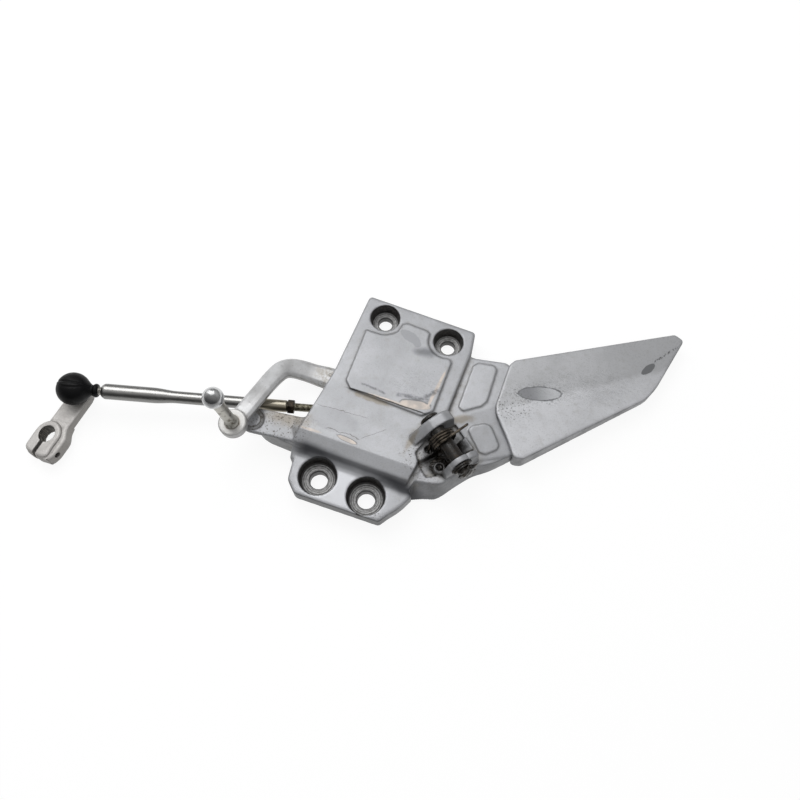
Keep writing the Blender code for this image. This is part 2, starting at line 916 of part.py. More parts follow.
def clevis_pocket():
    """Room for the footrest between the lugs, and its shallower mouth at the lower left."""
    half = clevis_gap / 2
    room = [
        (-half, 0.0170, 0.0),
        (-half, -0.0090, 0.0040),
        (-half + 0.0045, -0.0215, 0.0030),
        (-half + 0.0115, -0.0238, 0.0020),
        (half - 0.0040, -0.0238, 0.0),
        (half, -0.0140, 0.0),
        (half, 0.0170, 0.0),
    ]
    mouth = [
        (-half + 0.0100, -0.0200, 0.0),
        (-half + 0.0115, -0.0236, 0.0),
        (-half + 0.0140, -0.0270, 0.0020),
        (0.0070, -0.0400, 0.0),
        (0.0100, -0.0520, 0.0),
        (half + 0.0120, -0.0520, 0.0),
        (half + 0.0120, -0.0160, 0.0),
        (half, -0.0140, 0.0),
        (half - 0.0030, -0.0180, 0.0),
    ]
    ceiling = lug_top + 0.010
    return slab(rounded(on_clevis(room)), pocket_floor, ceiling), slab(rounded(on_clevis(mouth)), mouth_floor, ceiling)


def pocket_ramp():
    """Bare machined facet that climbs from the pocket's floor to the neck."""
    low = clevis_point(0.0, 0.0088)
    rise = 0.0025 / 0.0085

    def ramp_top(x, y):
        return pocket_floor + 0.0005 + max(0.0, pin_across.dot(Vector((x, y)) - low)) * rise

    outline = on_pin([(0.0004, 0.0088), (0.0085, 0.0088), (0.0096, 0.0178), (-0.0015, 0.0178)])
    return slab(outline, pocket_floor - 0.0020, ramp_top)


def stop_step():
    """Round boss on the pocket's floor that stops the footrest, drilled from above."""
    centre = clevis_point(0.0092, -0.0120)
    hole = stop_hole / 2
    boss = stop_boss / 2
    made = turned([
        (0, pocket_floor - 0.0015),
        (boss + 0.0008, pocket_floor - 0.0015),
        (boss, pocket_floor + 0.0012),
        (boss, stop_height - 0.0007),
        (boss - 0.0007, stop_height),
        (hole, stop_height),
        (hole, stop_height - 0.0050),
        (0, stop_height - 0.0050),
    ], 22)
    return placed(made, upright(*centre))


def spring_ledge():
    half = clevis_gap / 2
    corners = [
        (-half - 0.001, -0.0076, 0.0),
        (-half + 0.0040, -0.0225, 0.0),
        (-half + 0.0110, -0.0225, 0.0020),
        (-half + 0.0120, -0.0090, 0.0030),
        (-half + 0.0090, -0.0074, 0.0020),
    ]
    ledge = slab(rounded(on_clevis(corners)), pocket_floor - 0.002, spring_hole_top, 0.0006)
    hole = turned([(0, 0), (spring_hole / 2, 0), (spring_hole / 2, 0.02), (0, 0.02)], 18)
    centre = clevis_point(*spring_hole_place)
    return cut_by(ledge, placed(hole, upright(centre.x, centre.y, spring_hole_top - spring_hole_depth)))


def guard_screw_places():
    first = clevis_centre + Vector((0.0300, 0.0500))
    second = clevis_centre + Vector((0.0425, 0.0350))
    return first, second


def make_casting(look):
    casting = joined(make_block(), make_flange(), forward_arm())
    corners = neck_corners()
    fold = [(neck_start, neck_side)]
    neck = slab(rounded(corners), neck_foot, neck_top, edge_round, cuts=fold)
    neck_hollow = slab(
        rounded(shrunk(corners, wall)), -0.01, lambda x, y: neck_top(x, y) - skin, cuts=fold
    )
    cut_by(neck, neck_hollow)
    joined(casting, lower_wall(), neck, *clevis_lugs())
    cut_by(casting, *clevis_pocket())
    pad_outlines = neck_pads()
    pads = [
        slab(main_pad_outline(), face_height - 0.001, lambda x, y: block_top(x, y) + pad_rise, 0.0007),
        slab(
            pad_outlines[0], lambda x, y: neck_top(x, y) - 0.001, lambda x, y: neck_top(x, y) + 0.0012, 0.0005
        ),
        slab(
            pad_outlines[1], lambda x, y: neck_top(x, y) - 0.001, lambda x, y: neck_top(x, y) + 0.0012, 0.0005
        ),
    ]
    joined(casting, *pads, pocket_ramp(), stop_step(), spring_ledge())
    bolt_holes(casting)
    bore = pin_diameter / 2 + seat_gap
    reach = clevis_gap / 2 + upper_lug + 0.003
    pin_bore = turned([(0, -reach), (bore, -reach), (bore, reach), (0, reach)], 28)
    cut_by(casting, placed(pin_bore, pin_matrix(0.0, pin_height)), solver="MANIFOLD")
    cutters = []
    thread = turned([
        (0, pedal_hub_top - 0.001),
        (pivot_bolt / 2 + seat_gap, pedal_hub_top - 0.001),
        (pivot_bolt / 2 + seat_gap, bolt_tip + 0.0006),
        (0, bolt_tip + 0.0006),
    ], 24)
    cutters.append(placed(thread, upright(pivot_x, pivot_y)))
    for centre in guard_screw_places():
        hole = turned([
            (0, 0), (guard_screw / 2 + seat_gap, 0), (guard_screw / 2 + seat_gap, 0.03), (0, 0.03)
        ], 24)
        cutters.append(placed(hole, upright(*centre)))
    cut_by(casting, *cutters)
    return named(casting, "hanger_casting", look)


def guard_corners():
    return [
        (clevis_x + 0.0188, clevis_y + 0.0832, 0.0030),
        (clevis_x + 0.0190, clevis_y + 0.0770, 0.0200),
        (clevis_x + 0.0208, clevis_y + 0.0460, 0.0080),
        (clevis_x + 0.0240, clevis_y + 0.0395, 0.0080),
        (clevis_x + 0.0395, clevis_y + 0.0235, 0.0200),
        (clevis_x + 0.0475, clevis_y + 0.0135, 0.0040),
        (clevis_x + 0.0545, clevis_y + 0.0155, 0.0040),
        (clevis_x + 0.1240, clevis_y + 0.0985, 0.0120),
        (clevis_x + 0.1290, clevis_y + 0.1120, 0.0200),
        (clevis_x + 0.1372, clevis_y + 0.1590, 0.0030),
        (clevis_x + 0.1290, clevis_y + 0.1615, 0.0030),
        (clevis_x + 0.0215, clevis_y + 0.0885, 0.0030),
    ]


def guard_cuts():
    made = []
    for k in range(0, 13):
        made.append((guard_start + guard_axis * guard_length * k / 12, guard_axis))
    for off in (-0.042, -0.030, -0.019, -0.010, -0.004, 0.003, 0.010, 0.020, 0.032):
        made.append((guard_start + guard_side * off, guard_side))
    return made


def make_guard(look):
    corners = guard_corners()
    guard = slab(rounded(corners), guard_bottom, guard_top, 0.0014, cuts=guard_cuts())
    hollow = slab(
        rounded(shrunk(corners, guard_wall)),
        lambda x, y: guard_bottom(x, y) - 0.01,
        lambda x, y: max(guard_bottom(x, y) - 0.001, guard_top(x, y) - guard_skin),
        cuts=guard_cuts(),
    )
    tongue = slab(
        rounded(shrunk(neck_corners(), -2 * seat_gap)),
        -0.01,
        lambda x, y: neck_top(x, y) + seat_gap,
        cuts=[(neck_start, neck_side)],
    )
    guard = cut_by(guard, hollow)
    for centre in guard_screw_places():
        top = guard_top(*centre) - guard_skin / 2
        foot = neck_top(*centre) - 0.002
        boss = turned([(0, foot), (guard_boss / 2, foot), (guard_boss / 2, top), (0, top)], 24)
        joined(guard, placed(boss, upright(*centre)))
    cut_by(guard, tongue)
    for centre in guard_screw_places():
        tip = guard_screw_tip(centre) + 0.0006
        hole = turned([
            (0, 0), (guard_screw / 2 + seat_gap, 0), (guard_screw / 2 + seat_gap, tip), (0, tip)
        ], 24)
        cut_by(guard, placed(hole, upright(*centre)))
    return named(guard, "heel_guard", look)


def guard_screw_tip(centre):
    return guard_top(*centre) - 0.0020


def guard_screws(look):
    for name, centre in zip(("guard_screw_upper", "guard_screw_lower"), guard_screw_places()):
        seat = neck_top(*centre) - skin - seat_gap - 0.0006
        head = seat - guard_screw_head_height
        socket = 0.0028
        screw = turned([
            (0, head + 0.0018),
            (socket, head + 0.0018),
            (socket, head),
            (guard_screw_head / 2 - 0.0004, head),
            (guard_screw_head / 2, head + 0.0004),
            (guard_screw_head / 2, seat),
            (guard_screw / 2, seat),
            (guard_screw / 2, guard_screw_tip(centre)),
            (0, guard_screw_tip(centre)),
        ], 24)
        named(placed(screw, upright(*centre)), name, look)


def clevis_hardware(steel, dark):
    pin = pin_diameter / 2
    head_face = -clevis_gap / 2 - upper_lug - seat_gap
    far_face = clevis_gap / 2 + lower_lug + seat_gap
    washer_end = far_face + washer_thickness
    clip_end = washer_end + seat_gap + 0.0012
    pin_end = clip_end + 0.0022
    groove = pin - 0.0012
    made = turned([
        (0, head_face - pin_head_thickness),
        (pin_head / 2 - 0.0005, head_face - pin_head_thickness),
        (pin_head / 2, head_face - pin_head_thickness + 0.0005),
        (pin_head / 2, head_face),
        (pin, head_face),
        (pin, washer_end + seat_gap / 2),
        (groove, washer_end + seat_gap / 2),
        (groove, clip_end + seat_gap / 2),
        (pin, clip_end + seat_gap / 2),
        (pin, pin_end - 0.0006),
        (pin - 0.0006, pin_end),
        (0, pin_end),
    ])
    named(placed(made, pin_matrix(0.0, pin_height)), "clevis_pin", steel)
    washer = turned([
        (pin + seat_gap, far_face), (0.0084, far_face), (0.0084, washer_end), (pin + seat_gap, washer_end)
    ], closed=True)
    named(placed(washer, pin_matrix(0.0, pin_height)), "clevis_washer", dark)
    clip_inner = groove + seat_gap
    clip_outer = 0.0074
    opening = math.radians(50)
    steps = 20
    outer = [Vector((0, 0)) + Vector((math.cos(a), math.sin(a))) * clip_outer
             for a in [opening + (math.tau - 2 * opening) * k / steps for k in range(steps + 1)]]
    inner = [Vector((math.cos(a), math.sin(a))) * clip_inner
             for a in [math.tau - opening - (math.tau - 2 * opening) * k / steps for k in range(steps + 1)]]
    clip = slab(outer + inner, washer_end + seat_gap, clip_end)
    named(placed(clip, pin_matrix(0.0, pin_height)), "clevis_clip", dark)
    sleeve_start = -clevis_gap / 2 + seat_gap
    sleeve_end = clevis_gap / 2 - seat_gap
    sleeve = turned([
        (pin + seat_gap, sleeve_start),
        (sleeve_outer / 2, sleeve_start),
        (sleeve_outer / 2, sleeve_end),
        (pin + seat_gap, sleeve_end),
    ], closed=True)
    named(placed(sleeve, pin_matrix(0.0, pin_height)), "pin_sleeve", dark)


def torsion_spring(look):
    """Coil round the sleeve, with one leg down in the casting's hole and the other out towards the neck."""
    radius = spring_coil / 2 - spring_wire / 2
    pitch = spring_wire * 1.09
    start = -0.0086
    per_turn = 18
    first = math.radians(180)
    total = spring_turns * math.tau
    steps = round(per_turn * total / math.tau)
    local = []
    hole = spring_hole_place
    hole_floor = spring_hole_top - spring_hole_depth - pin_height + 0.0012
    local.append(Vector((hole[1], hole_floor, hole[0])))
    local.append(Vector((hole[1], spring_hole_top - pin_height + 0.0005, hole[0])))
    local.append(Vector((hole[1] + 0.0016, -0.0036, hole[0] - 0.0012)))
    for k in range(steps + 1):
        angle = first - total * k / steps
        local.append(Vector((
            radius * math.cos(angle), radius * math.sin(angle), start + pitch * total / math.tau * k / steps
        )))
    end = local[-1]
    tangent = Vector((1.0, 0.03, -0.06)).normalized()
    for k in range(1, 5):
        local.append(end + tangent * spring_leg * k / 4)
    frame = pin_matrix(0.0, pin_height)
    wire = tube([frame @ p for p in local], spring_wire / 2)
    named(wire, "torsion_spring", look, sharp=50.0)


def pedal_stations():
    """Centre line of the lever from the hub to the toe, as x, y, outer height, width and thickness."""
    hub_high = pedal_hub_foot + pedal_thickness + 0.0004
    thin = pedal_thickness
    return smooth_line([
        Vector((pivot_x - 0.0060, pivot_y, hub_high, pedal_width + 0.0020, thin)),
        Vector((-0.0470, -0.0608, hub_high, pedal_width + 0.0010, thin)),
        Vector((-0.0600, -0.0622, hub_high + 0.0007, pedal_width - 0.0010, thin)),
        Vector((-0.0682, -0.0636, hub_high + 0.0032, pedal_width - 0.0012, thin)),
        Vector((-0.0760, -0.0664, hub_high + 0.0064, pedal_width - 0.0014, thin)),
        Vector((-0.0813, -0.0716, hub_high + 0.0098, pedal_width - 0.0018, thin)),
        Vector((-0.0838, -0.0806, hub_high + 0.0134, pedal_width - 0.0024, thin - 0.0006)),
        Vector((-0.0853, -0.0956, hub_high + 0.0190, pedal_width - 0.0030, thin - 0.0018)),
        Vector((-0.0872, -0.1116, hub_high + 0.0238, pedal_width - 0.0032, thin - 0.0022)),
        Vector((-0.0895, -0.1240, toe_height - 0.0016, pedal_width - 0.0036, toe_boss_thickness - 0.0022)),
    ], 3)


def pedal_section(place, heading, high, width, thickness):
    """Flattened hexagon with a raised lengthwise crease."""
    side = Vector((-heading.y, heading.x))
    half = width / 2
    points = [
        (-half, -thickness * 0.75),
        (-half + 0.0014, -thickness),
        (half - 0.0014, -thickness),
        (half, -thickness * 0.75),
        (half, -thickness * 0.28),
        (half * 0.62, -thickness * 0.04),
        (half * 0.10, 0.0),
        (-half * 0.70, -thickness * 0.14),
        (-half, -thickness * 0.34),
    ]
    return [Vector((place.x + side.x * a, place.y + side.y * a, high + b)) for a, b in points]


def toe_matrix():
    lean = Vector((math.cos(toe_lean_heading), math.sin(toe_lean_heading)))
    up = Vector((lean.x * math.sin(toe_lean), lean.y * math.sin(toe_lean), math.cos(toe_lean)))
    turn = Vector((0, 0, 1)).rotation_difference(up).to_matrix().to_4x4()
    return Matrix.Translation((toe_x, toe_y, toe_height)) @ turn


def make_pedal(look):
    stations = pedal_stations()
    places = [Vector(station[:2]) for station in stations]
    rings = []
    for i, (x, y, high, width, thickness) in enumerate(stations):
        heading = (places[min(len(places) - 1, i + 1)] - places[max(0, i - 1)]).normalized()
        rings.append(pedal_section(places[i], heading, high, width, thickness))
    arm = loft(rings)
    hub = turned([
        (0, pedal_hub_foot),
        (pedal_hub / 2 - 0.0006, pedal_hub_foot),
        (pedal_hub / 2, pedal_hub_foot + 0.0006),
        (pedal_hub / 2, pedal_hub_top - 0.0006),
        (pedal_hub / 2 - 0.0006, pedal_hub_top),
        (0, pedal_hub_top),
    ])
    hub = placed(hub, upright(pivot_x, pivot_y))
    pivot = Vector((pivot_x, pivot_y))
    ball = Vector((rear_ball_x, rear_ball_y))
    along = (ball - pivot).normalized()
    side = Vector((-along.y, along.x))
    heading = math.atan2(along.y, along.x)
    nose = arc(ball, lever_width / 2, heading - math.pi / 2, heading + math.pi / 2)
    root = pivot + along * (pivot_washer / 2 + running_gap)
    shoulder = ball - along * (rear_boot_radius + running_gap)
    half = side * lever_width / 2
    lever = slab(nose + [root + half, root - half], lever_foot, lever_foot + lever_thickness, 0.0005)
    riser = [root + half * 0.96, root - half * 0.96, shoulder - half * 0.96, shoulder + half * 0.96]
    step = slab(riser, lever_foot + 0.0005, pedal_hub_foot + 0.0045)
    toe = turned([
        (0, -toe_boss_thickness),
        (toe_boss / 2 - 0.0008, -toe_boss_thickness),
        (toe_boss / 2, -toe_boss_thickness + 0.0008),
        (toe_boss / 2, -0.0008),
        (toe_boss / 2 - 0.0008, 0.0),
        (0, 0.0),
    ])
    toe = placed(toe, toe_matrix())
    pedal = joined(arm, hub, toe, lever, step)
    bore = bush_outer / 2 + seat_gap
    hub_bore = turned([(0, -0.005), (bore, -0.005), (bore, 0.03), (0, 0.03)], 28)
    stud_hole = stud_diameter / 2 + seat_gap
    ball_hole = turned([(0, 0), (stud_hole, 0), (stud_hole, 0.012), (0, 0.012)], 24)
    peg_hole = peg_diameter / 2 - 0.0010 + seat_gap
    toe_hole = turned([(0, -0.02), (peg_hole, -0.02), (peg_hole, 0.01), (0, 0.01)], 24)
    cut_by(
        pedal,
        placed(hub_bore, upright(pivot_x, pivot_y)),
        placed(ball_hole, upright(*ball, -0.003)),
        placed(toe_hole, toe_matrix()),
        solver="MANIFOLD",
    )
    return named(pedal, "gear_pedal", look, Vector((pivot_x, pivot_y, 0.0)))


def toe_peg(look):
    """Shouldered steel peg, riveted through the toe boss, with a ball end."""
    stem = peg_diameter / 2
    ball = peg_ball / 2
    tail = stem - 0.0010
    neck_angle = math.asin(stem / ball)
    profile = [
        (0, -toe_boss_thickness - 0.0010),
        (tail, -toe_boss_thickness - 0.0010),
        (tail, seat_gap),
        (stem + 0.0008, seat_gap),
        (stem + 0.0008, 0.0012),
        (stem, 0.0020),
    ]
    steps = 8
    for k in range(steps + 1):
        angle = math.pi - neck_angle - (math.pi - neck_angle) * k / steps
        profile.append((max(0.0, ball * math.sin(angle)), peg_length - ball * math.cos(math.pi - angle)))
    profile[-1] = (0, peg_length + ball)
    peg = placed(turned(profile, 24), toe_matrix())
    return named(peg, "toe_peg", look, Vector((pivot_x, pivot_y, 0.0)), sharp=40.0)


def pivot_hardware(steel, brass):
    top_gap = pedal_hub_top + seat_gap
    bush_low = pedal_hub_foot - seat_gap
    bolt = pivot_bolt / 2
    bush = turned([
        (bolt + bearing_gap, bush_low),
        (bush_outer / 2, bush_low),
        (bush_outer / 2, pedal_hub_top),
        (bolt + bearing_gap, pedal_hub_top),
    ], closed=True)
    named(placed(bush, upright(pivot_x, pivot_y)), "pedal_bush", brass, Vector((pivot_x, pivot_y, 0.0)))
    washer_top = bush_low - seat_gap
    washer_low = washer_top - washer_thickness
    washer = turned([
        (bolt + seat_gap, washer_low),
        (pivot_washer / 2, washer_low),
        (pivot_washer / 2, washer_top),
        (bolt + seat_gap, washer_top),
    ], closed=True)
    named(placed(washer, upright(pivot_x, pivot_y)), "pivot_washer", steel)
    head_top = washer_low - seat_gap
    head_low = head_top - pivot_bolt_head_height
    head = turned([
        (0, head_low),
        (pivot_bolt_head / 2 - 0.0005, head_low),
        (pivot_bolt_head / 2, head_low + 0.0005),
        (pivot_bolt_head / 2, head_top),
        (bolt, head_top),
        (bolt, bolt_tip),
        (0, bolt_tip),
    ])
    named(placed(head, upright(pivot_x, pivot_y)), "pedal_pivot_bolt", steel)


rear_ball = Vector((rear_ball_x, rear_ball_y, rear_ball_z))
front_ball = rear_ball + Vector((
    linkage_reach * math.cos(rod_heading),
    linkage_reach * math.sin(rod_heading),
    front_ball_z - rear_ball_z,
))
rod_along = (front_ball - rear_ball).normalized()
rod_length = (front_ball - rear_ball).length
shift_along = Vector((math.cos(shift_heading), math.sin(shift_heading), 0.0))
shift_flat = Vector((-shift_along.y, shift_along.x, 0.0))
shift_side = shift_flat * math.cos(shift_roll) + Vector((0, 0, math.sin(shift_roll)))
shift_up = shift_along.cross(shift_side)


def framed(origin, along, upward):
    """Local Z along the given direction and local Y as near as can be to upward."""
    third = along.normalized()
    first = upward.cross(third).normalized()
    second = third.cross(first)
    return Matrix((
        (first.x, second.x, third.x, origin.x),
        (first.y, second.y, third.y, origin.y),
        (first.z, second.z, third.z, origin.z),
        (0.0, 0.0, 0.0, 1.0),
    ))


def ball_profile(radius, start, end, steps):
    """Half circle about the origin between two angles from the upward axis, from the foot to the crown."""
    turns = [start + (end - start) * k / steps for k in range(steps + 1)]
    return [(0.0 if abs(math.sin(a)) < 1e-6 else radius * math.sin(a), radius * math.cos(a)) for a in turns]


def ball_stud(name, look, matrix, seat, shank, origin):
    """Ball on a neck with a collar on the lever's face and a shank through the lever."""
    ball = ball_diameter / 2
    neck = stud_neck / 2
    profile = [
        (0, seat - shank),
        (stud_diameter / 2, seat - shank),
        (stud_diameter / 2, seat + seat_gap),
        (stud_collar / 2, seat + seat_gap),
        (stud_collar / 2, seat + seat_gap + stud_collar_thickness),
        (neck, seat + seat_gap + stud_collar_thickness),
    ]
    profile += ball_profile(ball, math.pi - math.asin(neck / ball), 0.0, 7)
    return named(placed(turned(profile, 18), matrix), name, look, origin, sharp=35.0)


def rod_end(name, look, centre, upward, along, reach, origin):
    """Round housing with a socket open on the stud's side, a neck and a threaded stud towards the rod."""
    half = housing_diameter / 2
    body = turned([
        (0, -housing_below),
        (half - 0.0008, -housing_below),
        (half, -housing_below + 0.0008),
        (half, housing_above * 0.16),
        (half * 0.88, housing_above * 0.55),
        (half * 0.60, housing_above * 0.88),
        (half * 0.30, housing_above),
        (0, housing_above),
    ], 22)
    body = placed(body, framed(centre, upward, along))
    stem = turned([
        (0, half * 0.7),
        (housing_neck / 2, half * 0.7),
        (housing_neck / 2, half + 0.0003),
        (stud_diameter / 2, half + 0.0012),
        (stud_diameter / 2, reach - 0.0006),
        (stud_diameter / 2 - 0.0006, reach),
        (0, reach),
    ], 16)
    joined(body, placed(stem, framed(centre, along, upward)))
    socket = ball_diameter / 2 + ball_play
    hollow = turned(ball_profile(socket, math.pi, 0.0, 8), 18)
    mouth = math.sqrt(socket ** 2 - housing_below ** 2)
    throat = turned([(0, -0.0120), (mouth, -0.0120), (mouth, -housing_below * 0.9), (0, -housing_below * 0.9)], 18)
    joined(hollow, throat)
    cut_by(body, placed(hollow, framed(centre, upward, along)))
    return named(body, name, look, origin, sharp=35.0)


def taper(girth, radius, neck, end, shrink):
    """Profile that narrows smoothly from the bulb to the boot's neck."""
    start = radius * 0.58
    wide = girth * 0.78 - shrink
    made = []
    for share, fall in ((0.0, 0.0), (0.3, 0.22), (0.6, 0.58), (0.82, 0.86), (1.0, 1.0)):
        made.append((max(end, wide + (end - wide) * fall), start + (neck - start) * share))
    return made


def boot(name, look, centre, upward, along, radius, height, foot, neck, origin):
    """Rubber bulb round a ball joint, open below round the stud's collar, with a lipped neck on the rod."""
    def bulb(shrink):
        wide = radius - shrink
        tall = height - shrink
        profile = []
        steps = 9
        for k in range(steps + 1):
            angle = math.pi * k / steps
            profile.append((wide * math.sin(angle), -tall * math.cos(angle)))
        profile[0] = (0, -tall)
        profile[-1] = (0, tall)
        return placed(turned(profile, 22), framed(centre, upward, along))
    girth = min(radius, height)
    outer = bulb(0.0)
    base = turned([
        (0, -foot), (boot_hole + 0.0022, -foot), (boot_hole + 0.0030, -foot + 0.0010),
        (boot_hole + 0.0030, -foot + 0.0040), (0, -foot + 0.0040)
    ], 22)
    collar = turned([
        (0, radius * 0.45),
        *taper(girth, radius, neck, boot_neck, 0.0),
        (boot_neck + 0.0001, neck + 0.0012),
        (boot_lip, neck + 0.0026),
        (boot_lip, neck + 0.0040),
        (boot_neck, neck + 0.0050),
        (0, neck + 0.0050),
    ], 18)
    base = placed(base, framed(centre, upward, along))
    collar = placed(collar, framed(centre, along, upward))
    joined(outer, base, collar, solver="MANIFOLD")
    grip = stud_diameter / 2 + seat_gap
    inner = bulb(boot_wall)
    hole = turned([(0, -foot - 0.002), (boot_hole, -foot - 0.002), (boot_hole, 0.0), (0, 0.0)], 20)
    bore = turned([
        (0, radius * 0.45),
        *taper(girth, radius, neck, grip, boot_wall * 1.2),
        (grip, neck + 0.0080),
        (0, neck + 0.0080),
    ], 16)
    hole = placed(hole, framed(centre, upward, along))
    bore = placed(bore, framed(centre, along, upward))
    joined(inner, hole, bore, solver="MANIFOLD")
    cut_by(outer, inner, solver="MANIFOLD")
    return named(outer, name, look, origin, sharp=40.0)


def linkage_rod(look, origin):
    start = rod_rear_start
    end = rod_length - rod_front_start
    thick = rod_thick / 2
    slim = rod_slim / 2
    shoulder = end - rod_thick_length
    bore = stud_diameter / 2 + seat_gap
    rod = turned([
        (0, start + rod_thread_depth),
        (bore, start + rod_thread_depth),
        (bore, start),
        (slim - 0.0008, start),
        (slim, start + 0.0008),
        (slim, shoulder - rod_taper),
        (slim + (thick - slim) * 0.35, shoulder - rod_taper / 2),
        (thick, shoulder),
        (thick - 0.0002, end - 0.0022),
        (rod_end_face / 2, end),
        (bore, end),
        (bore, end - rod_thread_depth),
        (0, end - rod_thread_depth),
    ], 28)
    return named(placed(rod, framed(rear_ball, rod_along, Vector((0, 0, 1)))), "linkage_rod", look, origin)


def locknut(look, origin):
    corner = nut_flats / math.sqrt(3)
    start = rod_rear_start - seat_gap - nut_thickness
    outline = [
        Vector((corner * math.cos(math.radians(60 * k + 12)), corner * math.sin(math.radians(60 * k + 12))))
        for k in range(6)
    ]
    nut = slab(outline, start, start + nut_thickness)
    crown = turned([
        (0, start - 0.001),
        (nut_flats / 2 - 0.0012, start - 0.001),
        (nut_flats / 2 + 0.0013, start + 0.0009),
        (nut_flats / 2 + 0.0013, start + nut_thickness - 0.0009),
        (nut_flats / 2 - 0.0012, start + nut_thickness + 0.001),
        (0, start + nut_thickness + 0.001),
    ], 30)
    nut = combined(nut, "INTERSECT", [crown])
    bore = stud_diameter / 2 + seat_gap
    hole = turned([(0, start - 0.002), (bore, start - 0.002), (bore, start + 0.01), (0, start + 0.01)], 20)
    nut = cut_by(nut, hole)
    return named(placed(nut, framed(rear_ball, rod_along, Vector((0, 0, 1)))), "rear_locknut", look, origin)


def shift_matrix():
    """Local X along the arm from stud to spline, local Y across it and local Z out of its face."""
    foot = front_ball - shift_up * shift_drop
    return Matrix((
        (shift_along.x, shift_side.x, shift_up.x, foot.x),
        (shift_along.y, shift_side.y, shift_up.y, foot.y),
        (shift_along.z, shift_side.z, shift_up.z, foot.z),
        (0.0, 0.0, 0.0, 1.0),
    ))


def spline_outline(centre):
    """Bore with straight-sided teeth that point inwards."""
    outer = spline_bore / 2
    inner = outer - spline_depth
    pitch = math.tau / spline_teeth
    points = []
    for k in range(spline_teeth):
        for share, radius in ((-0.30, outer), (0.02, outer), (0.22, inner), (0.50, inner)):
            angle = pitch * (k + share)
            points.append(centre + radius * Vector((math.cos(angle), math.sin(angle))))
    return points


def make_shift_arm(look, origin):
    centre = Vector((shift_length, shift_offset))
    half = shift_strap_half
    nose = arc(Vector((0.0, -0.0006)), half, math.radians(90), math.radians(270))
    strap = slab(
        nose + [Vector((0.0290, -half - 0.0008)), Vector((0.0290, half - 0.0006))],
        -shift_thickness, 0.0, 0.0016, edge_steps=3,
    )
    hub = slab(
        rounded([
            (0.0235, -0.0094, 0.0),
            (0.0290, -0.0088, 0.0060),
            (0.0362, -0.0126, 0.0120),
            (0.0555, -0.0132, 0.0060),
            (0.0570, 0.0020, 0.0500),
            (0.0545, 0.0112, 0.0050),
            (0.0480, 0.0134, 0.0080),
            (0.0350, 0.0134, 0.0080),
            (0.0290, 0.0094, 0.0060),
            (0.0235, 0.0080, 0.0),
        ]),
        -shift_hub_foot, 0.0006, 0.0022, edge_steps=3,
    )
    cap = arc(centre, shift_collar, math.radians(85), math.radians(270))
    cap += rounded([
        (0.0420, centre.y - shift_collar, 0.0),
        (0.0546, centre.y - shift_collar + 0.0004, 0.0050),
        (0.0558, 0.0016, 0.0180),
        (0.0534, 0.0096, 0.0040),
        (0.0440, centre.y + shift_collar - 0.0002, 0.0),
    ])
    deck = slab(cap, -0.0050, shift_hub_top, 0.0022, edge_steps=3)
    arm = joined(strap, hub, deck, solver="MANIFOLD")
    stud = stud_diameter / 2 + seat_gap
    stud_hole = turned([(0, -0.02), (stud, -0.02), (stud, 0.01), (0, 0.01)], 24)
    bore = slab(spline_outline(centre), -0.02, 0.02)
    slit_half = pinch_slit / 2
    slit = slab(
        [
            centre + Vector((0.0, -slit_half)),
            centre + Vector((0.03, -slit_half)),
            centre + Vector((0.03, slit_half)),
            centre + Vector((0.0, slit_half)),
        ],
        -0.02, 0.02,
    )
    pinch = turned([(0, -0.011), (pinch_hole / 2, -0.011), (pinch_hole / 2, 0.02), (0, 0.02)], 20)
    turn = Matrix((
        (1.0, 0.0, 0.0, pinch_place),
        (0.0, 0.0, 1.0, 0.0),
        (0.0, -1.0, 0.0, -shift_hub_foot / 2 + 0.0012),
        (0.0, 0.0, 0.0, 1.0),
    ))
    cut_by(arm, stud_hole, bore, slit, placed(pinch, turn), solver="MANIFOLD")
    return named(placed(arm, shift_matrix()), "shift_arm", look, origin)


def make_linkage(steel, dark, rubber, blasted):
    up = Vector((0, 0, 1))
    pedal_axis = Vector((pivot_x, pivot_y, 0.0))
    rod_axis = Vector((rear_ball_x, rear_ball_y, 0.0))
    rear_seat = lever_foot + lever_thickness - rear_ball_z
    rear_frame = framed(rear_ball, up, Vector((0, 1, 0)))
    ball_stud("rear_ball_stud", steel, rear_frame, rear_seat, lever_thickness - 0.0003, pedal_axis)
    rear_reach = rod_rear_start + rod_thread_depth - 0.0010
    rod_end("rear_rod_end", dark, rear_ball, up, rod_along, rear_reach, rod_axis)
    rear_foot = -rear_seat - 0.0006
    boot(
        "rear_boot", rubber, rear_ball, up, rod_along,
        rear_boot_radius, rear_boot_height, rear_foot, rear_boot_neck, rod_axis,
    )
    locknut(dark, rod_axis)
    linkage_rod(steel, rod_axis)
    square = (up - rod_along * up.dot(rod_along)).normalized()
    front_reach = rod_front_start + rod_thread_depth - 0.0010
    rod_end("front_rod_end", steel, front_ball, square, -rod_along, front_reach, rod_axis)
    front_frame = framed(front_ball, shift_up, shift_along)
    ball_stud("front_ball_stud", steel, front_frame, -shift_drop, shift_thickness - 0.0003, front_ball)
    front_foot = shift_drop - 0.0006
    boot(
        "front_boot", rubber, front_ball, shift_up, -rod_along,
        front_boot_radius, front_boot_height, front_foot, front_boot_neck, rod_axis,
    )
    make_shift_arm(blasted, front_ball)


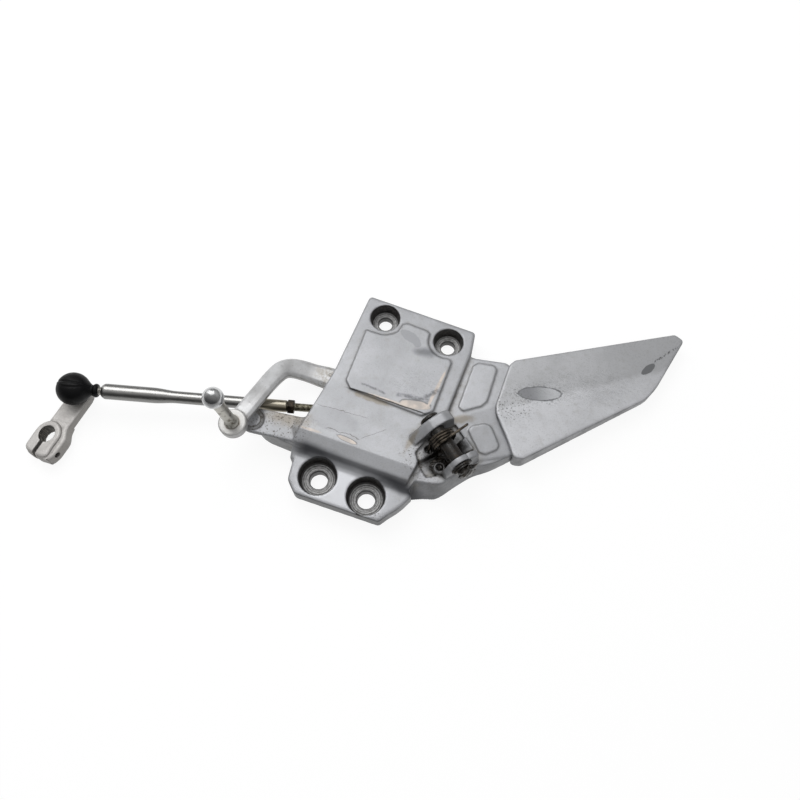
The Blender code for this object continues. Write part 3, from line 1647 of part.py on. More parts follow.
def build_all():
    clear_objects()
    cast = finish("painted_casting", (0.46, 0.47, 0.49), 0.45, 0.6)
    forged = finish("forged_aluminium", (0.42, 0.42, 0.43), 0.40, 0.8)
    steel = finish("plated_steel", (0.55, 0.55, 0.54), 0.28, 1.0)
    dark = finish("greasy_steel", (0.06, 0.06, 0.055), 0.45, 0.8)
    brass = finish("bush_bronze", (0.40, 0.28, 0.12), 0.40, 1.0)
    rubber = finish("black_rubber", (0.012, 0.012, 0.013), 0.42, 0.0)
    blasted = finish("blasted_aluminium", (0.44, 0.43, 0.42), 0.55, 0.8)
    make_casting(cast)
    make_guard(cast)
    guard_screws(steel)
    clevis_hardware(steel, dark)
    torsion_spring(dark)
    make_pedal(forged)
    toe_peg(steel)
    pivot_hardware(steel, brass)
    make_linkage(steel, dark, rubber, blasted)


build_all()
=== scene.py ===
import math

import bmesh
import bpy
import numpy as np
from mathutils import Matrix, Vector


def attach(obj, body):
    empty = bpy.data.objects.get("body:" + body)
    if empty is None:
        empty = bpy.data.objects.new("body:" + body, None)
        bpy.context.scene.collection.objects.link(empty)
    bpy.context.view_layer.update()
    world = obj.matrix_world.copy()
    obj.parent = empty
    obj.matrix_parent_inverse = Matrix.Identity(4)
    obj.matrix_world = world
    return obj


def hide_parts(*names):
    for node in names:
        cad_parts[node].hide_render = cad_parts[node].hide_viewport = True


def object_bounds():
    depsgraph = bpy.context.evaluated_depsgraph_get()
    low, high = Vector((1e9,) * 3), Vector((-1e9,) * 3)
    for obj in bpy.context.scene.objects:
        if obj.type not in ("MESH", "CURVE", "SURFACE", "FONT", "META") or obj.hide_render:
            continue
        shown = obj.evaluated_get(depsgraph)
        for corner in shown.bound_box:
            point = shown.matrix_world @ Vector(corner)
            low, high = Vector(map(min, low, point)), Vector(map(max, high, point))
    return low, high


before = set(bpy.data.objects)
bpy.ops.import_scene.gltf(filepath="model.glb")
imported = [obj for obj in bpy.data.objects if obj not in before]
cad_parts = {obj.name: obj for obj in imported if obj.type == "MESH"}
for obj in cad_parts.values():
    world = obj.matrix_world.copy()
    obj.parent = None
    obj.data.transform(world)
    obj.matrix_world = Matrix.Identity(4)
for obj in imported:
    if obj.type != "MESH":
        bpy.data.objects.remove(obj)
cadLow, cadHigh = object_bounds()
print("frame loaded:", len(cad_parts), "nodes")

# Camera: the place and lens that the four bolt holes gave
camera = {
    "place": (0.10837, -0.28885, 0.65159), "azimuth": 23.0, "elevation": 68.5, "lens": 40.5, "sensor": 36.0,
}


def makeCamera(values):
    data = bpy.data.cameras.new("camera")
    data.lens = values["lens"]
    data.sensor_width = values["sensor"]
    data.clip_start = 0.01
    data.clip_end = 20.0
    turn = math.radians(values["azimuth"])
    tilt = math.radians(values["elevation"])
    forward = Vector((-math.cos(tilt) * math.sin(turn), math.cos(tilt) * math.cos(turn), -math.sin(tilt)))
    right = Vector((math.cos(turn), math.sin(turn), 0.0))
    up = right.cross(forward)
    matrix = Matrix((right, up, -forward)).transposed().to_4x4()
    matrix.translation = Vector(values["place"])
    thing = bpy.data.objects.new("camera", data)
    thing.matrix_world = matrix
    bpy.context.scene.collection.objects.link(thing)
    bpy.context.scene.camera = thing


makeCamera(camera)
bpy.context.scene.view_settings.view_transform = "Standard"


# Marks given as pairs lie at this height and reach this far up and down; endless makes a distance level
markHeight, markDepth, endless = 0.02, 1.0, 1e6


class Graph:
    # a short way to add shader nodes to one material or world, and join them

    def __init__(self, name, world=False):
        if world:
            self.owner = bpy.data.worlds.new(name)
        else:
            self.owner = bpy.data.materials.new(name)
        self.owner.use_nodes = True
        self.tree = self.owner.node_tree
        self.tree.nodes.clear()
        self.place = None

    def add(self, kind, inputs=None, output=0, **settings):
        made = self.tree.nodes.new("ShaderNode" + kind)
        for key, value in settings.items():
            setattr(made, key, value)
        for key, value in (inputs or {}).items():
            if isinstance(value, bpy.types.NodeSocket):
                self.tree.links.new(value, made.inputs[key])
            else:
                made.inputs[key].default_value = value
        return made.outputs[output] if len(made.outputs) else made

    def where(self):
        if self.place is None:
            self.place = self.add("TexCoord", output="Object")
        return self.place

    def noise(self, scale, detail=3.0, rough=0.55, distortion=0.0, stretch=None, turn=0.0):
        at = self.where()
        if stretch:
            at = self.add("Mapping", {"Vector": at, "Rotation": (0.0, 0.0, turn), "Scale": stretch})
        sockets = {"Scale": scale, "Detail": detail, "Roughness": rough, "Distortion": distortion}
        return self.add("TexNoise", {"Vector": at, **sockets})

    def sway(self, scale, amount, detail=4.0, rough=0.55):
        # noise about zero
        return self.times(self.maths("SUBTRACT", self.noise(scale, detail, rough), 0.5), amount)

    def maths(self, operation, a, b=0.0, clamp=False):
        return self.add("Math", {0: a, 1: b}, operation=operation, use_clamp=clamp)

    def times(self, *values):
        made = values[0]
        for value in values[1:]:
            made = self.maths("MULTIPLY", made, value)
        return made

    def most(self, *values):
        made = values[0]
        for value in values[1:]:
            made = self.maths("MAXIMUM", made, value)
        return made

    def without(self, value):
        return self.maths("SUBTRACT", 1.0, value, True)

    def step(self, value, low, high, start=0.0, end=1.0):
        sockets = {"Value": value, "From Min": low, "From Max": high, "To Min": start, "To Max": end}
        return self.add("MapRange", sockets, interpolation_type="SMOOTHSTEP")

    def fall(self, value, low, high):
        # one below low, zero above high
        return self.step(value, low, high, 1.0, 0.0)

    def run(self, value, low, high, levels):
        # from one level to the other over the value, or the one level given
        return self.step(value, low, high, *levels) if isinstance(levels, tuple) else levels

    def mix(self, share, a, b, blend="MIX"):
        def colour(value):
            return value if isinstance(value, bpy.types.NodeSocket) else (*value, 1.0)
        return self.add("Mix", {0: share, 6: colour(a), 7: colour(b)}, 2, data_type="RGBA", blend_type=blend)

    def over(self, colour, tone, *shares):
        # the tone over the colour, as strong as the product of the shares
        return self.mix(self.times(*shares), colour, tone)

    def blend(self, share, a, b):
        return self.add("Mix", {0: share, 2: a, 3: b}, 0)

    def steps(self, value, stops):
        # a smooth run of greys: each stop is a place from 0 to 1 and its level
        made = self.tree.nodes.new("ShaderNodeValToRGB")
        ramp = made.color_ramp
        while len(ramp.elements) < len(stops):
            ramp.elements.new(0.5)
        for element, (place, level) in zip(ramp.elements, stops):
            element.position = place
            element.color = (level, level, level, 1.0)
        self.tree.links.new(value, made.inputs[0])
        return made.outputs[0]

    def axis(self, vector, letter):
        made = self.tree.nodes.new("ShaderNodeSeparateXYZ")
        self.tree.links.new(vector, made.inputs[0])
        return made.outputs[letter]

    def centred(self, centre, turn=0.0, size=(1.0, 1.0, 1.0)):
        sockets = {"Location": centre, "Rotation": (0.0, 0.0, math.radians(turn)), "Scale": size}
        return self.add("Mapping", {"Vector": self.where(), **sockets}, vector_type="TEXTURE")

    def length(self, vector):
        return self.add("VectorMath", {0: vector}, "Value", operation="LENGTH")

    def radial(self, x, y):
        # distance from an upright axis
        return self.length(self.centred((x, y, 0.0), 0.0, (1.0, 1.0, endless)))

    def patch(self, centre, size, turn, ragged, grain, soft):
        # one inside an ellipse, zero outside, with a ragged edge
        if len(centre) == 2:
            centre, size = (*centre, markHeight), (*size, markDepth)
        far = self.maths("ADD", self.length(self.centred(centre, turn, size)), self.sway(grain, ragged))
        return self.fall(far, 1.0 - soft, 1.0 + soft)

    def stroke(self, centre, turn, reach, width, wave, scale, soft=2.5):
        # one along a wavy line of that half length and half width
        at = self.centred((*centre, 0.0), turn)
        off = self.maths("ABSOLUTE", self.maths("ADD", self.axis(at, "Y"), self.sway(scale, wave, 4.0, 0.6)))
        line = self.fall(off, width / soft, width * soft)
        ends = self.fall(self.maths("ABSOLUTE", self.axis(at, "X")), reach * 0.75, reach)
        return self.times(line, ends)

    def hairs(self, scale, stretch, turn, width):
        # fine scratches: where a stretched noise crosses its middle
        lines = self.noise(scale, 5.0, 0.7, 1.5, (1.0, stretch, 1.0), turn)
        return self.fall(self.maths("ABSOLUTE", self.maths("SUBTRACT", lines, 0.5)), 0.0, width)

    def shape(self, mark):
        # the most of a mark's patches and strokes, kept to its hair scratches if it has any
        parts = [self.patch(*values) for values in mark.get("patches", ())]
        parts += [self.stroke(*values) for values in mark.get("strokes", ())]
        made = self.most(*parts)
        if "hairs" in mark:
            made = self.times(made, self.most(*[self.hairs(*values) for values in mark["hairs"]]))
        return made

    def lay(self, colour, mark, *within):
        return self.over(colour, mark["colour"], self.shape(mark), *within, mark["share"])

    def hollow(self, reach):
        # dark in corners and grooves within reach
        return self.add("AmbientOcclusion", {"Distance": reach}, "AO", samples=6, only_local=True)

    def corners(self, reach, spread, low, high):
        # one in corners within reach, ragged by the spread
        return self.fall(self.maths("ADD", self.hollow(reach), spread), low, high)

    def steep(self, low=0.92, high=0.30):
        # one on upright walls, zero on level faces
        return self.fall(self.axis(self.add("NewGeometry", output="Normal"), "Z"), high, low)

    def rounded(self, radius):
        return self.add("Bevel", {"Radius": radius}, samples=4)

    def bump(self, height, distance, strength=1.0, normal=None):
        sockets = {"Height": height, "Distance": distance, "Strength": strength}
        if normal:
            sockets["Normal"] = normal
        return self.add("Bump", sockets)

    def skin(self, height, distance, strength):
        # bump over softly rounded corners
        return self.bump(height, distance, strength, self.rounded(0.0006))

    def surface(self, colour, rough, metal, normal=None, **fixed):
        sockets = {"Base Color": colour, "Roughness": rough, "Metallic": metal}
        if normal:
            sockets["Normal"] = normal
        for key, value in fixed.items():
            sockets[key.replace("_", " ")] = value
        shader = self.add("BsdfPrincipled", sockets)
        self.add("OutputMaterial", {"Surface": shader})
        return self.owner


def paint(thing, material):
    thing.data.materials.clear()
    thing.data.materials.append(material)


# Silver paint on the casting and the guard: fine flake, grime and painted shade in the corners, painted shade
# on the walls, bare metal where it has worn
silver = {
    "colour": (0.425, 0.432, 0.452),
    "shade": (0.350, 0.356, 0.372),
    "flake": (0.70, 0.70, 0.72),
    "dull": (0.22, 0.22, 0.22),
    "cornerGrimeShade": (0.30, 0.275, 0.225),
    "wall": (0.105, 0.107, 0.112),
    "shadeBlack": (0.016, 0.014, 0.013),
    "cornerGrimeShadeReach": 0.0060,
    "shadeLineReach": 0.0020,
    "metal": 0.42,
    "rough": 0.40,
    "spread": (-0.05, 0.08),
    "dirtRough": 0.25,
}
# painted light: a lighter copy of the silver paint for the guard, with darker painted shade on its walls and
# over its upper side
litGuardSilver = {
    **silver, "colour": (0.660, 0.668, 0.694), "shade": (0.560, 0.567, 0.588), "wall": (0.055, 0.056, 0.060),
    "above": (0.76, 0.76, 0.755), "spread": (-0.04, 0.08), "dirtRough": 0.0,
}


def silverBase(g, values):
    mottle = g.noise(26.0, 5.0, 0.6)
    flake = g.noise(2600.0, 2.0)
    colour = g.mix(g.step(mottle, 0.36, 0.66), values["shade"], values["colour"])
    colour = g.mix(g.step(flake, 0.42, 0.75, 0.0, 0.16), colour, values["flake"])
    dull = g.step(g.noise(900.0, 3.0), 0.50, 0.72, 0.0, 0.22)
    colour = g.mix(dull, colour, values["dull"])
    # painted shade: upright walls are darker, in mottled patches
    smudge = g.step(g.noise(70.0, 5.0, 0.65), 0.25, 0.75, 0.45, 0.95)
    colour = g.over(colour, values["wall"], g.steep(), smudge)
    # grime and painted shade: a warm film in broad corners; painted shade: black lines in narrow ones
    spread = g.sway(210.0, 0.8, 5.0, 0.65)
    corner = g.corners(values["cornerGrimeShadeReach"], spread, 0.50, 1.02)
    colour = g.over(colour, values["cornerGrimeShade"], corner, 0.62)
    lines = g.corners(values["shadeLineReach"], g.times(spread, 0.35), 0.64, 0.955)
    colour = g.over(colour, values["shadeBlack"], lines, 0.92)
    return colour, g.most(g.times(corner, 0.5), lines), flake


def silverSurface(g, values, colour, grime_and_shade, flake, smooth, *clean):
    # smooth is a share and the roughness it has; clean is one where no grease hides the metal
    low, high = values["spread"]
    rough = g.step(flake, 0.3, 0.7, values["rough"] + low, values["rough"] + high)
    rough = g.blend(smooth[0], rough, smooth[1])
    rough = g.maths("ADD", rough, g.times(grime_and_shade, values["dirtRough"]))
    metal = g.times(g.without(grime_and_shade), *clean, g.without(g.times(g.steep(), 0.6)), values["metal"])
    return g.surface(colour, rough, metal, g.skin(g.noise(900.0, 4.0, 0.6), 0.00016, 0.40))


bolts = {
    "upper": {
        "places": ((-0.02665, 0.0), (0.02665, 0.0)), "hole": 0.0055, "wide": 0.0118, "floor": 0.0070,
        "top": 0.0172,
    },
    "lower": {
        "places": ((-0.0210, -0.1383), (0.0174, -0.1383)), "hole": 0.0067, "wide": 0.0144, "floor": 0.0092,
        "top": 0.0188,
    },
}
recess = {
    # painted shade: the near-black greys of the recess walls
    "wall": ((0.012, 0.011, 0.010), (0.062, 0.057, 0.052)),
    "oil": (0.05, 0.045, 0.04),
    # from the hole to the rim: place and level of grey
    "rings": (
        (0.00, 0.03), (0.05, 0.50), (0.14, 0.62), (0.24, 0.42), (0.28, 0.05), (0.34, 0.34), (0.50, 0.46),
        (0.60, 0.30), (0.65, 0.10), (0.71, 0.44), (0.84, 0.36), (0.90, 0.06), (1.00, 0.02),
    ),
}


def boltRecess(g, colour, size, place, grain):
    # painted shade: a dark upright wall; and a floor with the rings that the bolt heads left
    height = g.axis(g.where(), "Z")
    far = g.radial(*place)
    within = g.fall(far, size["wide"] + 0.0003, size["wide"] + 0.0008)
    below = g.fall(height, size["top"] - 0.0006, size["top"] + 0.0004)
    wall = g.mix(g.step(grain, 0.42, 0.66), *recess["wall"])
    colour = g.over(colour, wall, within, below)
    rings = g.steps(g.step(far, size["hole"], size["wide"] * 0.97), recess["rings"])
    worn = g.mix(g.step(grain, 0.35, 0.65, 0.15, 0.75), rings, g.mix(0.75, rings, recess["oil"]))
    base = g.fall(height, size["floor"] + 0.0006, size["floor"] + 0.0012)
    inside = g.step(far, size["hole"] - 0.0002, size["hole"], 0.0, 1.0)
    return g.over(colour, worn, within, base, inside)


# Marks on the casting, in the order in which they are laid.
# A patch has a centre, half sizes, a turn in degrees, raggedness, grain and softness.
# A stroke has a centre, a turn, a half length, a half width, sway, the scale of the sway and softness.
castingMarks = {
    # painted shade: a soft dark band at the foot of the lip's wall
    "band": {
        "share": 0.92, "colour": (0.036, 0.038, 0.044),
        "strokes": (((0.0050, -0.1232), 1.6, 0.0550, 0.0034, 0.004, 30.0, 2.2),),
    },
    # the flange's level faces are made lighter than the block's; painted shade darkens the wall at its outer
    # edge
    "flange": {
        "share": 0.65, "colour": (0.68, 0.69, 0.72),
        "patches": (((-0.0020, -0.1400), (0.0330, 0.0180), 3.0, 0.5, 60.0, 0.45),),
    },
    "rim": {"share": 0.80, "colour": (0.050, 0.051, 0.054), "from": -0.1500, "to": -0.1400},
    # dull lacquer on the left of the lower face
    "dull": {
        "share": 0.45, "colour": (0.300, 0.306, 0.320),
        "patches": (((-0.0280, -0.0965), (0.0210, 0.0088), 5.0, 0.30, 110.0, 0.10),),
    },
    # worn grey place and smear on the raised pad
    "worn": {
        "share": 0.75, "colour": (0.285, 0.292, 0.305),
        "patches": (
            ((-0.0020, -0.0085), (0.0090, 0.0042), -14.0, 0.45, 260.0, 0.05),
            ((0.0050, -0.0118), (0.0040, 0.0030), -30.0, 0.45, 300.0, 0.05),
        ),
    },
    "smear": {
        "share": 0.70, "colour": (0.100, 0.104, 0.115),
        "patches": (((0.0145, -0.0165), (0.0085, 0.0034), 16.0, 1.0, 140.0, 0.75),),
    },
    # bare strip along the pad's lower edge and its right border, with a dark outline
    "outline": {
        "share": 0.60, "colour": (0.100, 0.098, 0.100),
        "patches": (
            ((0.0240, -0.0606), (0.0125, 0.0040), 13.0, 0.50, 240.0, 0.06),
            ((-0.0110, -0.1066), (0.0086, 0.0021), -3.0, 0.60, 260.0, 0.06),
        ),
    },
    "bare": {
        "share": 0.90, "colours": ((0.60, 0.53, 0.47), (0.44, 0.40, 0.37)),
        "patches": (
            ((0.0240, -0.0612), (0.0115, 0.0034), 13.0, 0.50, 240.0, 0.10),
            ((0.0060, -0.0655), (0.0180, 0.0011), 2.5, 0.80, 240.0, 0.20),
            ((0.0336, -0.0440), (0.0012, 0.0185), -2.0, 0.90, 240.0, 0.20),
            ((-0.0385, -0.1100), (0.0075, 0.0011), 5.0, 0.70, 260.0, 0.10),
            ((-0.0110, -0.1068), (0.0078, 0.0015), -3.0, 0.60, 260.0, 0.08),
        ),
    },
    # painted shadow: a black line under the pad's lower edge
    "under": {
        "share": 0.92, "colour": silver["shadeBlack"],
        "strokes": (((0.0030, -0.0664), 2.5, 0.0350, 0.00050, 0.0012, 200.0, 1.8),),
    },
    # dark scuffs above the bare strip, and hair scratches that run up from them
    "scuffs": {
        "share": 1.0, "colour": (0.100, 0.102, 0.112),
        "strokes": (
            ((0.0200, -0.0560), 12.0, 0.0140, 0.0011, 0.006, 120.0),
            ((0.0315, -0.0480), 52.0, 0.0075, 0.0010, 0.005, 150.0),
            ((-0.0100, -0.0610), -3.0, 0.0110, 0.0006, 0.003, 160.0),
        ),
    },
    "scratches": {
        "share": 0.60, "colour": (0.10, 0.10, 0.11),
        "patches": (((0.0165, -0.0445), (0.0210, 0.0125), 10.0, 1.1, 70.0, 0.45),),
        "hairs": ((70.0, 4.5, 0.75, 0.010), (60.0, 5.0, -0.35, 0.007)),
    },
    # cracked lacquer on the lower face, brown stains below the pad and beside the lug
    "cracks": {
        "share": 0.65, "colour": (0.10, 0.09, 0.08),
        "strokes": (
            ((-0.0240, -0.0870), 4.0, 0.0220, 0.00014, 0.010, 55.0),
            ((-0.0160, -0.1030), 5.0, 0.0150, 0.00018, 0.010, 60.0),
            ((0.0050, -0.0950), 42.0, 0.0110, 0.00014, 0.006, 70.0),
        ),
    },
    "stains": {
        "share": 0.60, "colour": (0.23, 0.19, 0.13),
        "patches": (
            ((-0.0080, -0.0695), (0.0150, 0.0020), 2.0, 1.5, 240.0, 0.40),
            ((0.0600, -0.0560), (0.0090, 0.0030), 30.0, 1.5, 220.0, 0.50),
            ((0.0325, -0.0890), (0.0022, 0.0080), -10.0, 1.5, 240.0, 0.60),
            ((-0.0600, -0.1070), (0.0160, 0.0060), 8.0, 1.6, 200.0, 0.80),
        ),
    },
    # dirt specks all over, thick on the forward arm and by the lower right bolt
    "specks": {
        "colour": (0.060, 0.048, 0.036),
        "patches": (
            ((-0.0680, -0.1120), (0.0260, 0.0160), 10.0, 0.8, 90.0, 0.50),
            ((0.0300, -0.1480), (0.0060, 0.0030), 30.0, 1.0, 160.0, 0.50),
            ((0.0450, -0.1000), (0.0160, 0.0120), -35.0, 0.8, 120.0, 0.60),
        ),
    },
    # grease in the clevis, thick low down and thin on the lugs
    "grease": {
        "colour": (0.008, 0.007, 0.006),
        "patches": (((0.0590, -0.0860, 0.0210), (0.0155, 0.0175, 0.0125), -35.0, 0.55, 150.0, 0.25),),
    },
}


def castingPaint(values, marks):
    g = Graph("silver_paint_casting")
    colour, grime_and_shade, flake = silverBase(g, values)
    upright = g.steep()
    colour = g.lay(colour, marks["band"])
    colour = g.lay(colour, marks["flange"], g.without(upright))
    # painted shade on the wall along the flange's outer edge
    rim = marks["rim"]
    outer = g.fall(g.axis(g.where(), "Y"), rim["from"], rim["to"])
    colour = g.over(colour, rim["colour"], outer, upright, rim["share"])
    for name in ("dull", "worn", "smear", "outline"):
        colour = g.lay(colour, marks[name])
    bare = marks["bare"]
    tint = g.mix(g.step(g.noise(160.0, 4.0), 0.35, 0.65), *bare["colours"])
    colour = g.over(colour, tint, g.shape(bare), bare["share"])
    # painted shadow under the pad's lower edge
    colour = g.lay(colour, marks["under"])
    colour = g.lay(colour, marks["scuffs"], g.step(g.noise(330.0, 4.0), 0.35, 0.60, 0.25, 0.75))
    for name in ("scratches", "cracks", "stains"):
        colour = g.lay(colour, marks[name])
    fleck = g.noise(760.0, 3.0, 0.6)
    few = g.step(fleck, 0.715, 0.745, 0.0, 0.75)
    many = g.times(g.step(fleck, 0.56, 0.62, 0.0, 0.80), g.shape(marks["specks"]))
    colour = g.mix(g.most(few, many), colour, marks["specks"]["colour"])
    grain = g.noise(420.0, 5.0, 0.7)
    for size in bolts.values():
        for place in size["places"]:
            colour = boltRecess(g, colour, size, place, grain)
    drips = g.step(g.noise(210.0, 4.0, 0.6, 0.8), 0.26, 0.36)
    grease = g.times(g.shape(marks["grease"]), drips)
    colour = g.mix(grease, colour, marks["grease"]["colour"])
    return silverSurface(g, values, colour, grime_and_shade, flake, (grease, 0.20), g.without(grease))


# Marks on the guard: paint rubbed to bare metal by the rider's heel, a long oval with a dark rim and a
# small one near the tip; hair scratches by the crest, and specks at the neck end
heelSpot, heelTurn = (0.1065, -0.0148), 23.0
guardMarks = {
    "halo": {
        "share": 0.45, "colour": (0.12, 0.12, 0.125),
        "patches": ((heelSpot, (0.0200, 0.0085), heelTurn, 0.90, 320.0, 0.35),),
    },
    "rim": {
        "share": 0.80, "colour": (0.105, 0.108, 0.115),
        "patches": ((heelSpot, (0.0168, 0.0060), heelTurn, 0.30, 300.0, 0.05),),
    },
    "rub": {
        "colours": ((0.245, 0.250, 0.262), (0.56, 0.57, 0.59)), "from": -0.010, "to": 0.014,
        "patches": ((heelSpot, (0.0158, 0.0052), heelTurn, 0.22, 260.0, 0.04),),
    },
    "tip": {
        "share": 1.0, "colour": (0.170, 0.174, 0.180),
        "patches": (((0.1765, 0.0398), (0.0070, 0.0028), 62.0, 0.40, 300.0, 0.06),),
    },
    "trail": {
        "share": 0.85, "colour": (0.060, 0.060, 0.064),
        "strokes": (((0.1850, 0.0570), 57.0, 0.0140, 0.0005, 0.003, 150.0),),
    },
    "scratches": {
        "share": 0.60, "colour": (0.12, 0.12, 0.125),
        "patches": (((0.1330, 0.0040), (0.0430, 0.0150), 27.0, 1.0, 60.0, 0.50),),
        "hairs": ((60.0, 5.0, -1.15, 0.010), (52.0, 5.0, 0.5, 0.009)),
    },
    "specks": {
        "colour": (0.075, 0.072, 0.068),
        "patches": (((0.0900, -0.0330), (0.0150, 0.0120), 20.0, 0.9, 90.0, 0.60),),
    },
    "crest": {"place": (0.1087, -0.0176, 0.0), "turn": 38.0, "half": 0.0035, "sway": 0.008},
}


def guardPaint(values, marks):
    g = Graph("silver_paint_guard")
    colour, grime_and_shade, flake = silverBase(g, values)
    # painted shade: darker above the crest than below it
    crest = marks["crest"]
    across = g.axis(g.centred(crest["place"], crest["turn"]), "Y")
    above = g.step(g.maths("ADD", across, g.sway(80.0, crest["sway"])), -crest["half"], crest["half"])
    colour = g.mix(above, colour, values["above"], "MULTIPLY")
    colour = g.lay(colour, marks["halo"], g.step(g.noise(620.0, 3.0), 0.52, 0.60))
    colour = g.lay(colour, marks["rim"])
    rub = marks["rub"]
    rubbed = g.shape(rub)
    along = g.axis(g.centred((*heelSpot, markHeight), heelTurn), "X")
    shine = g.mix(g.step(along, rub["from"], rub["to"]), *rub["colours"])
    colour = g.mix(rubbed, colour, shine)
    colour = g.lay(colour, marks["tip"])
    colour = g.lay(colour, marks["trail"], g.step(g.noise(520.0, 3.0), 0.44, 0.56))
    colour = g.lay(colour, marks["scratches"])
    fleck = g.noise(700.0, 3.0, 0.6)
    many = g.times(g.step(fleck, 0.57, 0.63, 0.0, 0.8), g.shape(marks["specks"]))
    colour = g.mix(g.most(g.step(fleck, 0.70, 0.74, 0.0, 0.6), many), colour, marks["specks"]["colour"])
    return silverSurface(g, values, colour, grime_and_shade, flake, (g.times(rubbed, 0.8), 0.30))


# Worn forging of the pedal, with brown dirt near the casting, a ring mark on the bend's upper face, painted
# shade on its walls and grime with painted shade in its corners
pedalPaint = {
    "colour": (0.640, 0.645, 0.655),
    "shade": (0.520, 0.520, 0.522),
    "wall": (0.33, 0.322, 0.310),
    "grime_and_shade": (0.105, 0.075, 0.045),
    "near": {
        "share": 0.60, "colour": (0.26, 0.22, 0.16),
        "patches": (((-0.0420, -0.0600, 0.012), (0.0170, 0.0130, 0.02), 0.0, 1.3, 160.0, 0.60),),
    },
    "ring": {"share": 0.75, "colour": (0.05, 0.045, 0.04), "place": (-0.0475, -0.0590), "radius": 0.00125},
    # white bare face of the toe boss with a brown stain round the peg
    "boss": {
        "colours": ((0.50, 0.495, 0.48), (0.66, 0.655, 0.64)),
        "patches": (((-0.0911, -0.1304, 0.0402), (0.0110, 0.0110, 0.0022), 0.0, 0.15, 300.0, 0.08),),
    },
    "stain": {
        "share": 0.70, "colour": (0.17, 0.12, 0.075), "place": (-0.0911, -0.1304), "reach": (0.0050, 0.0068),
    },
    "corner": 0.0035,
    "metal": 0.50,
    "rough": 0.40,
}


def pedalMetal(values):
    g = Graph("worn_forging")
    mottle = g.noise(55.0, 5.0, 0.65)
    colour = g.mix(g.step(mottle, 0.36, 0.64), values["shade"], values["colour"])
    smudge = g.step(g.noise(90.0, 5.0, 0.65), 0.25, 0.75, 0.35, 0.90)
    # painted shade: upright walls darker
    colour = g.over(colour, values["wall"], g.steep(), smudge)
    colour = g.lay(colour, values["near"], g.step(g.noise(190.0, 5.0, 0.7), 0.42, 0.62))
    speck = g.step(g.noise(640.0, 4.0, 0.65), 0.64, 0.70)
    colour = g.over(colour, values["grime_and_shade"], speck, 0.55)
    ring = values["ring"]
    off = g.maths("ABSOLUTE", g.maths("SUBTRACT", g.radial(*ring["place"]), ring["radius"]))
    colour = g.over(colour, ring["colour"], g.fall(off, 0.00012, 0.00035), ring["share"])
    spread = g.sway(220.0, 0.6)
    # grime and painted shade in the corners
    corner = g.corners(values["corner"], spread, 0.45, 0.95)
    colour = g.over(colour, values["grime_and_shade"], corner, 0.85)
    face = g.shape(values["boss"])
    colour = g.mix(face, colour, g.mix(g.step(mottle, 0.3, 0.7), *values["boss"]["colours"]))
    stain = values["stain"]
    far = g.maths("ADD", g.radial(*stain["place"]), g.times(spread, 0.004))
    near = g.fall(far, *stain["reach"])
    colour = g.over(colour, stain["colour"], face, near, stain["share"])
    rough = g.step(mottle, 0.3, 0.7, values["rough"] - 0.08, values["rough"] + 0.12)
    metal = g.times(g.without(corner), values["metal"])
    return g.surface(colour, rough, metal, g.skin(g.noise(800.0, 4.0), 0.00016, 0.40))


# Blasted aluminium of the shift arm, with painted shade on its walls, grime and painted shade in its corners,
# and painted shade inside its bore
blasted = {
    "colour": (0.70, 0.680, 0.660),
    "shade": (0.58, 0.560, 0.540),
    "grain": (0.26, 0.25, 0.24),
    "wall": (0.27, 0.258, 0.243),
    "grime_and_shade": (0.030, 0.026, 0.022),
    "bore": {
        "share": 0.92, "colour": (0.022, 0.020, 0.017),
        "patches": (((-0.2230, -0.1861, 0.0090), (0.0080, 0.0080, 0.0110), 0.0, 0.15, 300.0, 0.05),),
    },
    "corner": 0.0045,
    "metal": 0.40,
    "rough": 0.55,
}


def blastedMetal(values):
    g = Graph("blasted_arm")
    mottle = g.noise(75.0, 5.0, 0.6)
    grain = g.noise(1900.0, 3.0)
    colour = g.mix(g.step(mottle, 0.35, 0.65), values["shade"], values["colour"])
    colour = g.mix(g.step(grain, 0.35, 0.7, 0.0, 0.30), colour, values["grain"])
    # painted shade: upright walls darker
    colour = g.over(colour, values["wall"], g.steep(), 0.80)
    # grime and painted shade in the corners
    corner = g.corners(values["corner"], g.sway(300.0, 0.4), 0.46, 0.98)
    colour = g.over(colour, values["grime_and_shade"], corner, 0.85)
    # painted shade: the bore's walls near black
    bore = g.times(g.shape(values["bore"]), g.steep())
    colour = g.over(colour, values["bore"]["colour"], bore, values["bore"]["share"])
    metal = g.times(g.without(corner), g.without(bore), values["metal"])
    return g.surface(colour, values["rough"], metal, g.skin(grain, 0.00012, 0.55))


# Brushed steel of the rod: scarred where it is thickest, tarnished at the rear, with painted highlight and
# shade in lengthwise bands
rodEnds = {"rear": (-0.0310, -0.0840, 0.0130), "front": (-0.21933, -0.14859, 0.0220)}
polished = {
    "colour": (0.500, 0.498, 0.487),
    "band": (0.430, 0.426, 0.413),
    "scar": (0.12, 0.11, 0.10),
    # painted highlight and shade in lengthwise bands, from the side away from upward to the side towards it:
    # place and level
    "upward": (-0.364, 0.857, 0.366),
    "lightBands": (
        (0.00, 0.55), (0.18, 0.50), (0.26, 0.28), (0.36, 0.34), (0.50, 0.58), (0.66, 0.66), (0.78, 1.0),
        (0.88, 0.85), (1.0, 0.40),
    ),
    "scars": {"patches": (((-0.1510, -0.1250, 0.02), (0.0110, 0.0110, 0.02), 20.0, 0.8, 200.0, 0.4),)},
    "tarnish": {
        "share": 0.70, "colour": (0.30, 0.265, 0.190),
        "patches": (((-0.0720, -0.0980, 0.015), (0.0180, 0.0180, 0.03), 20.0, 0.7, 160.0, 0.6),),
    },
    "rough": (0.30, 0.38),
    "metal": 1.0,
}


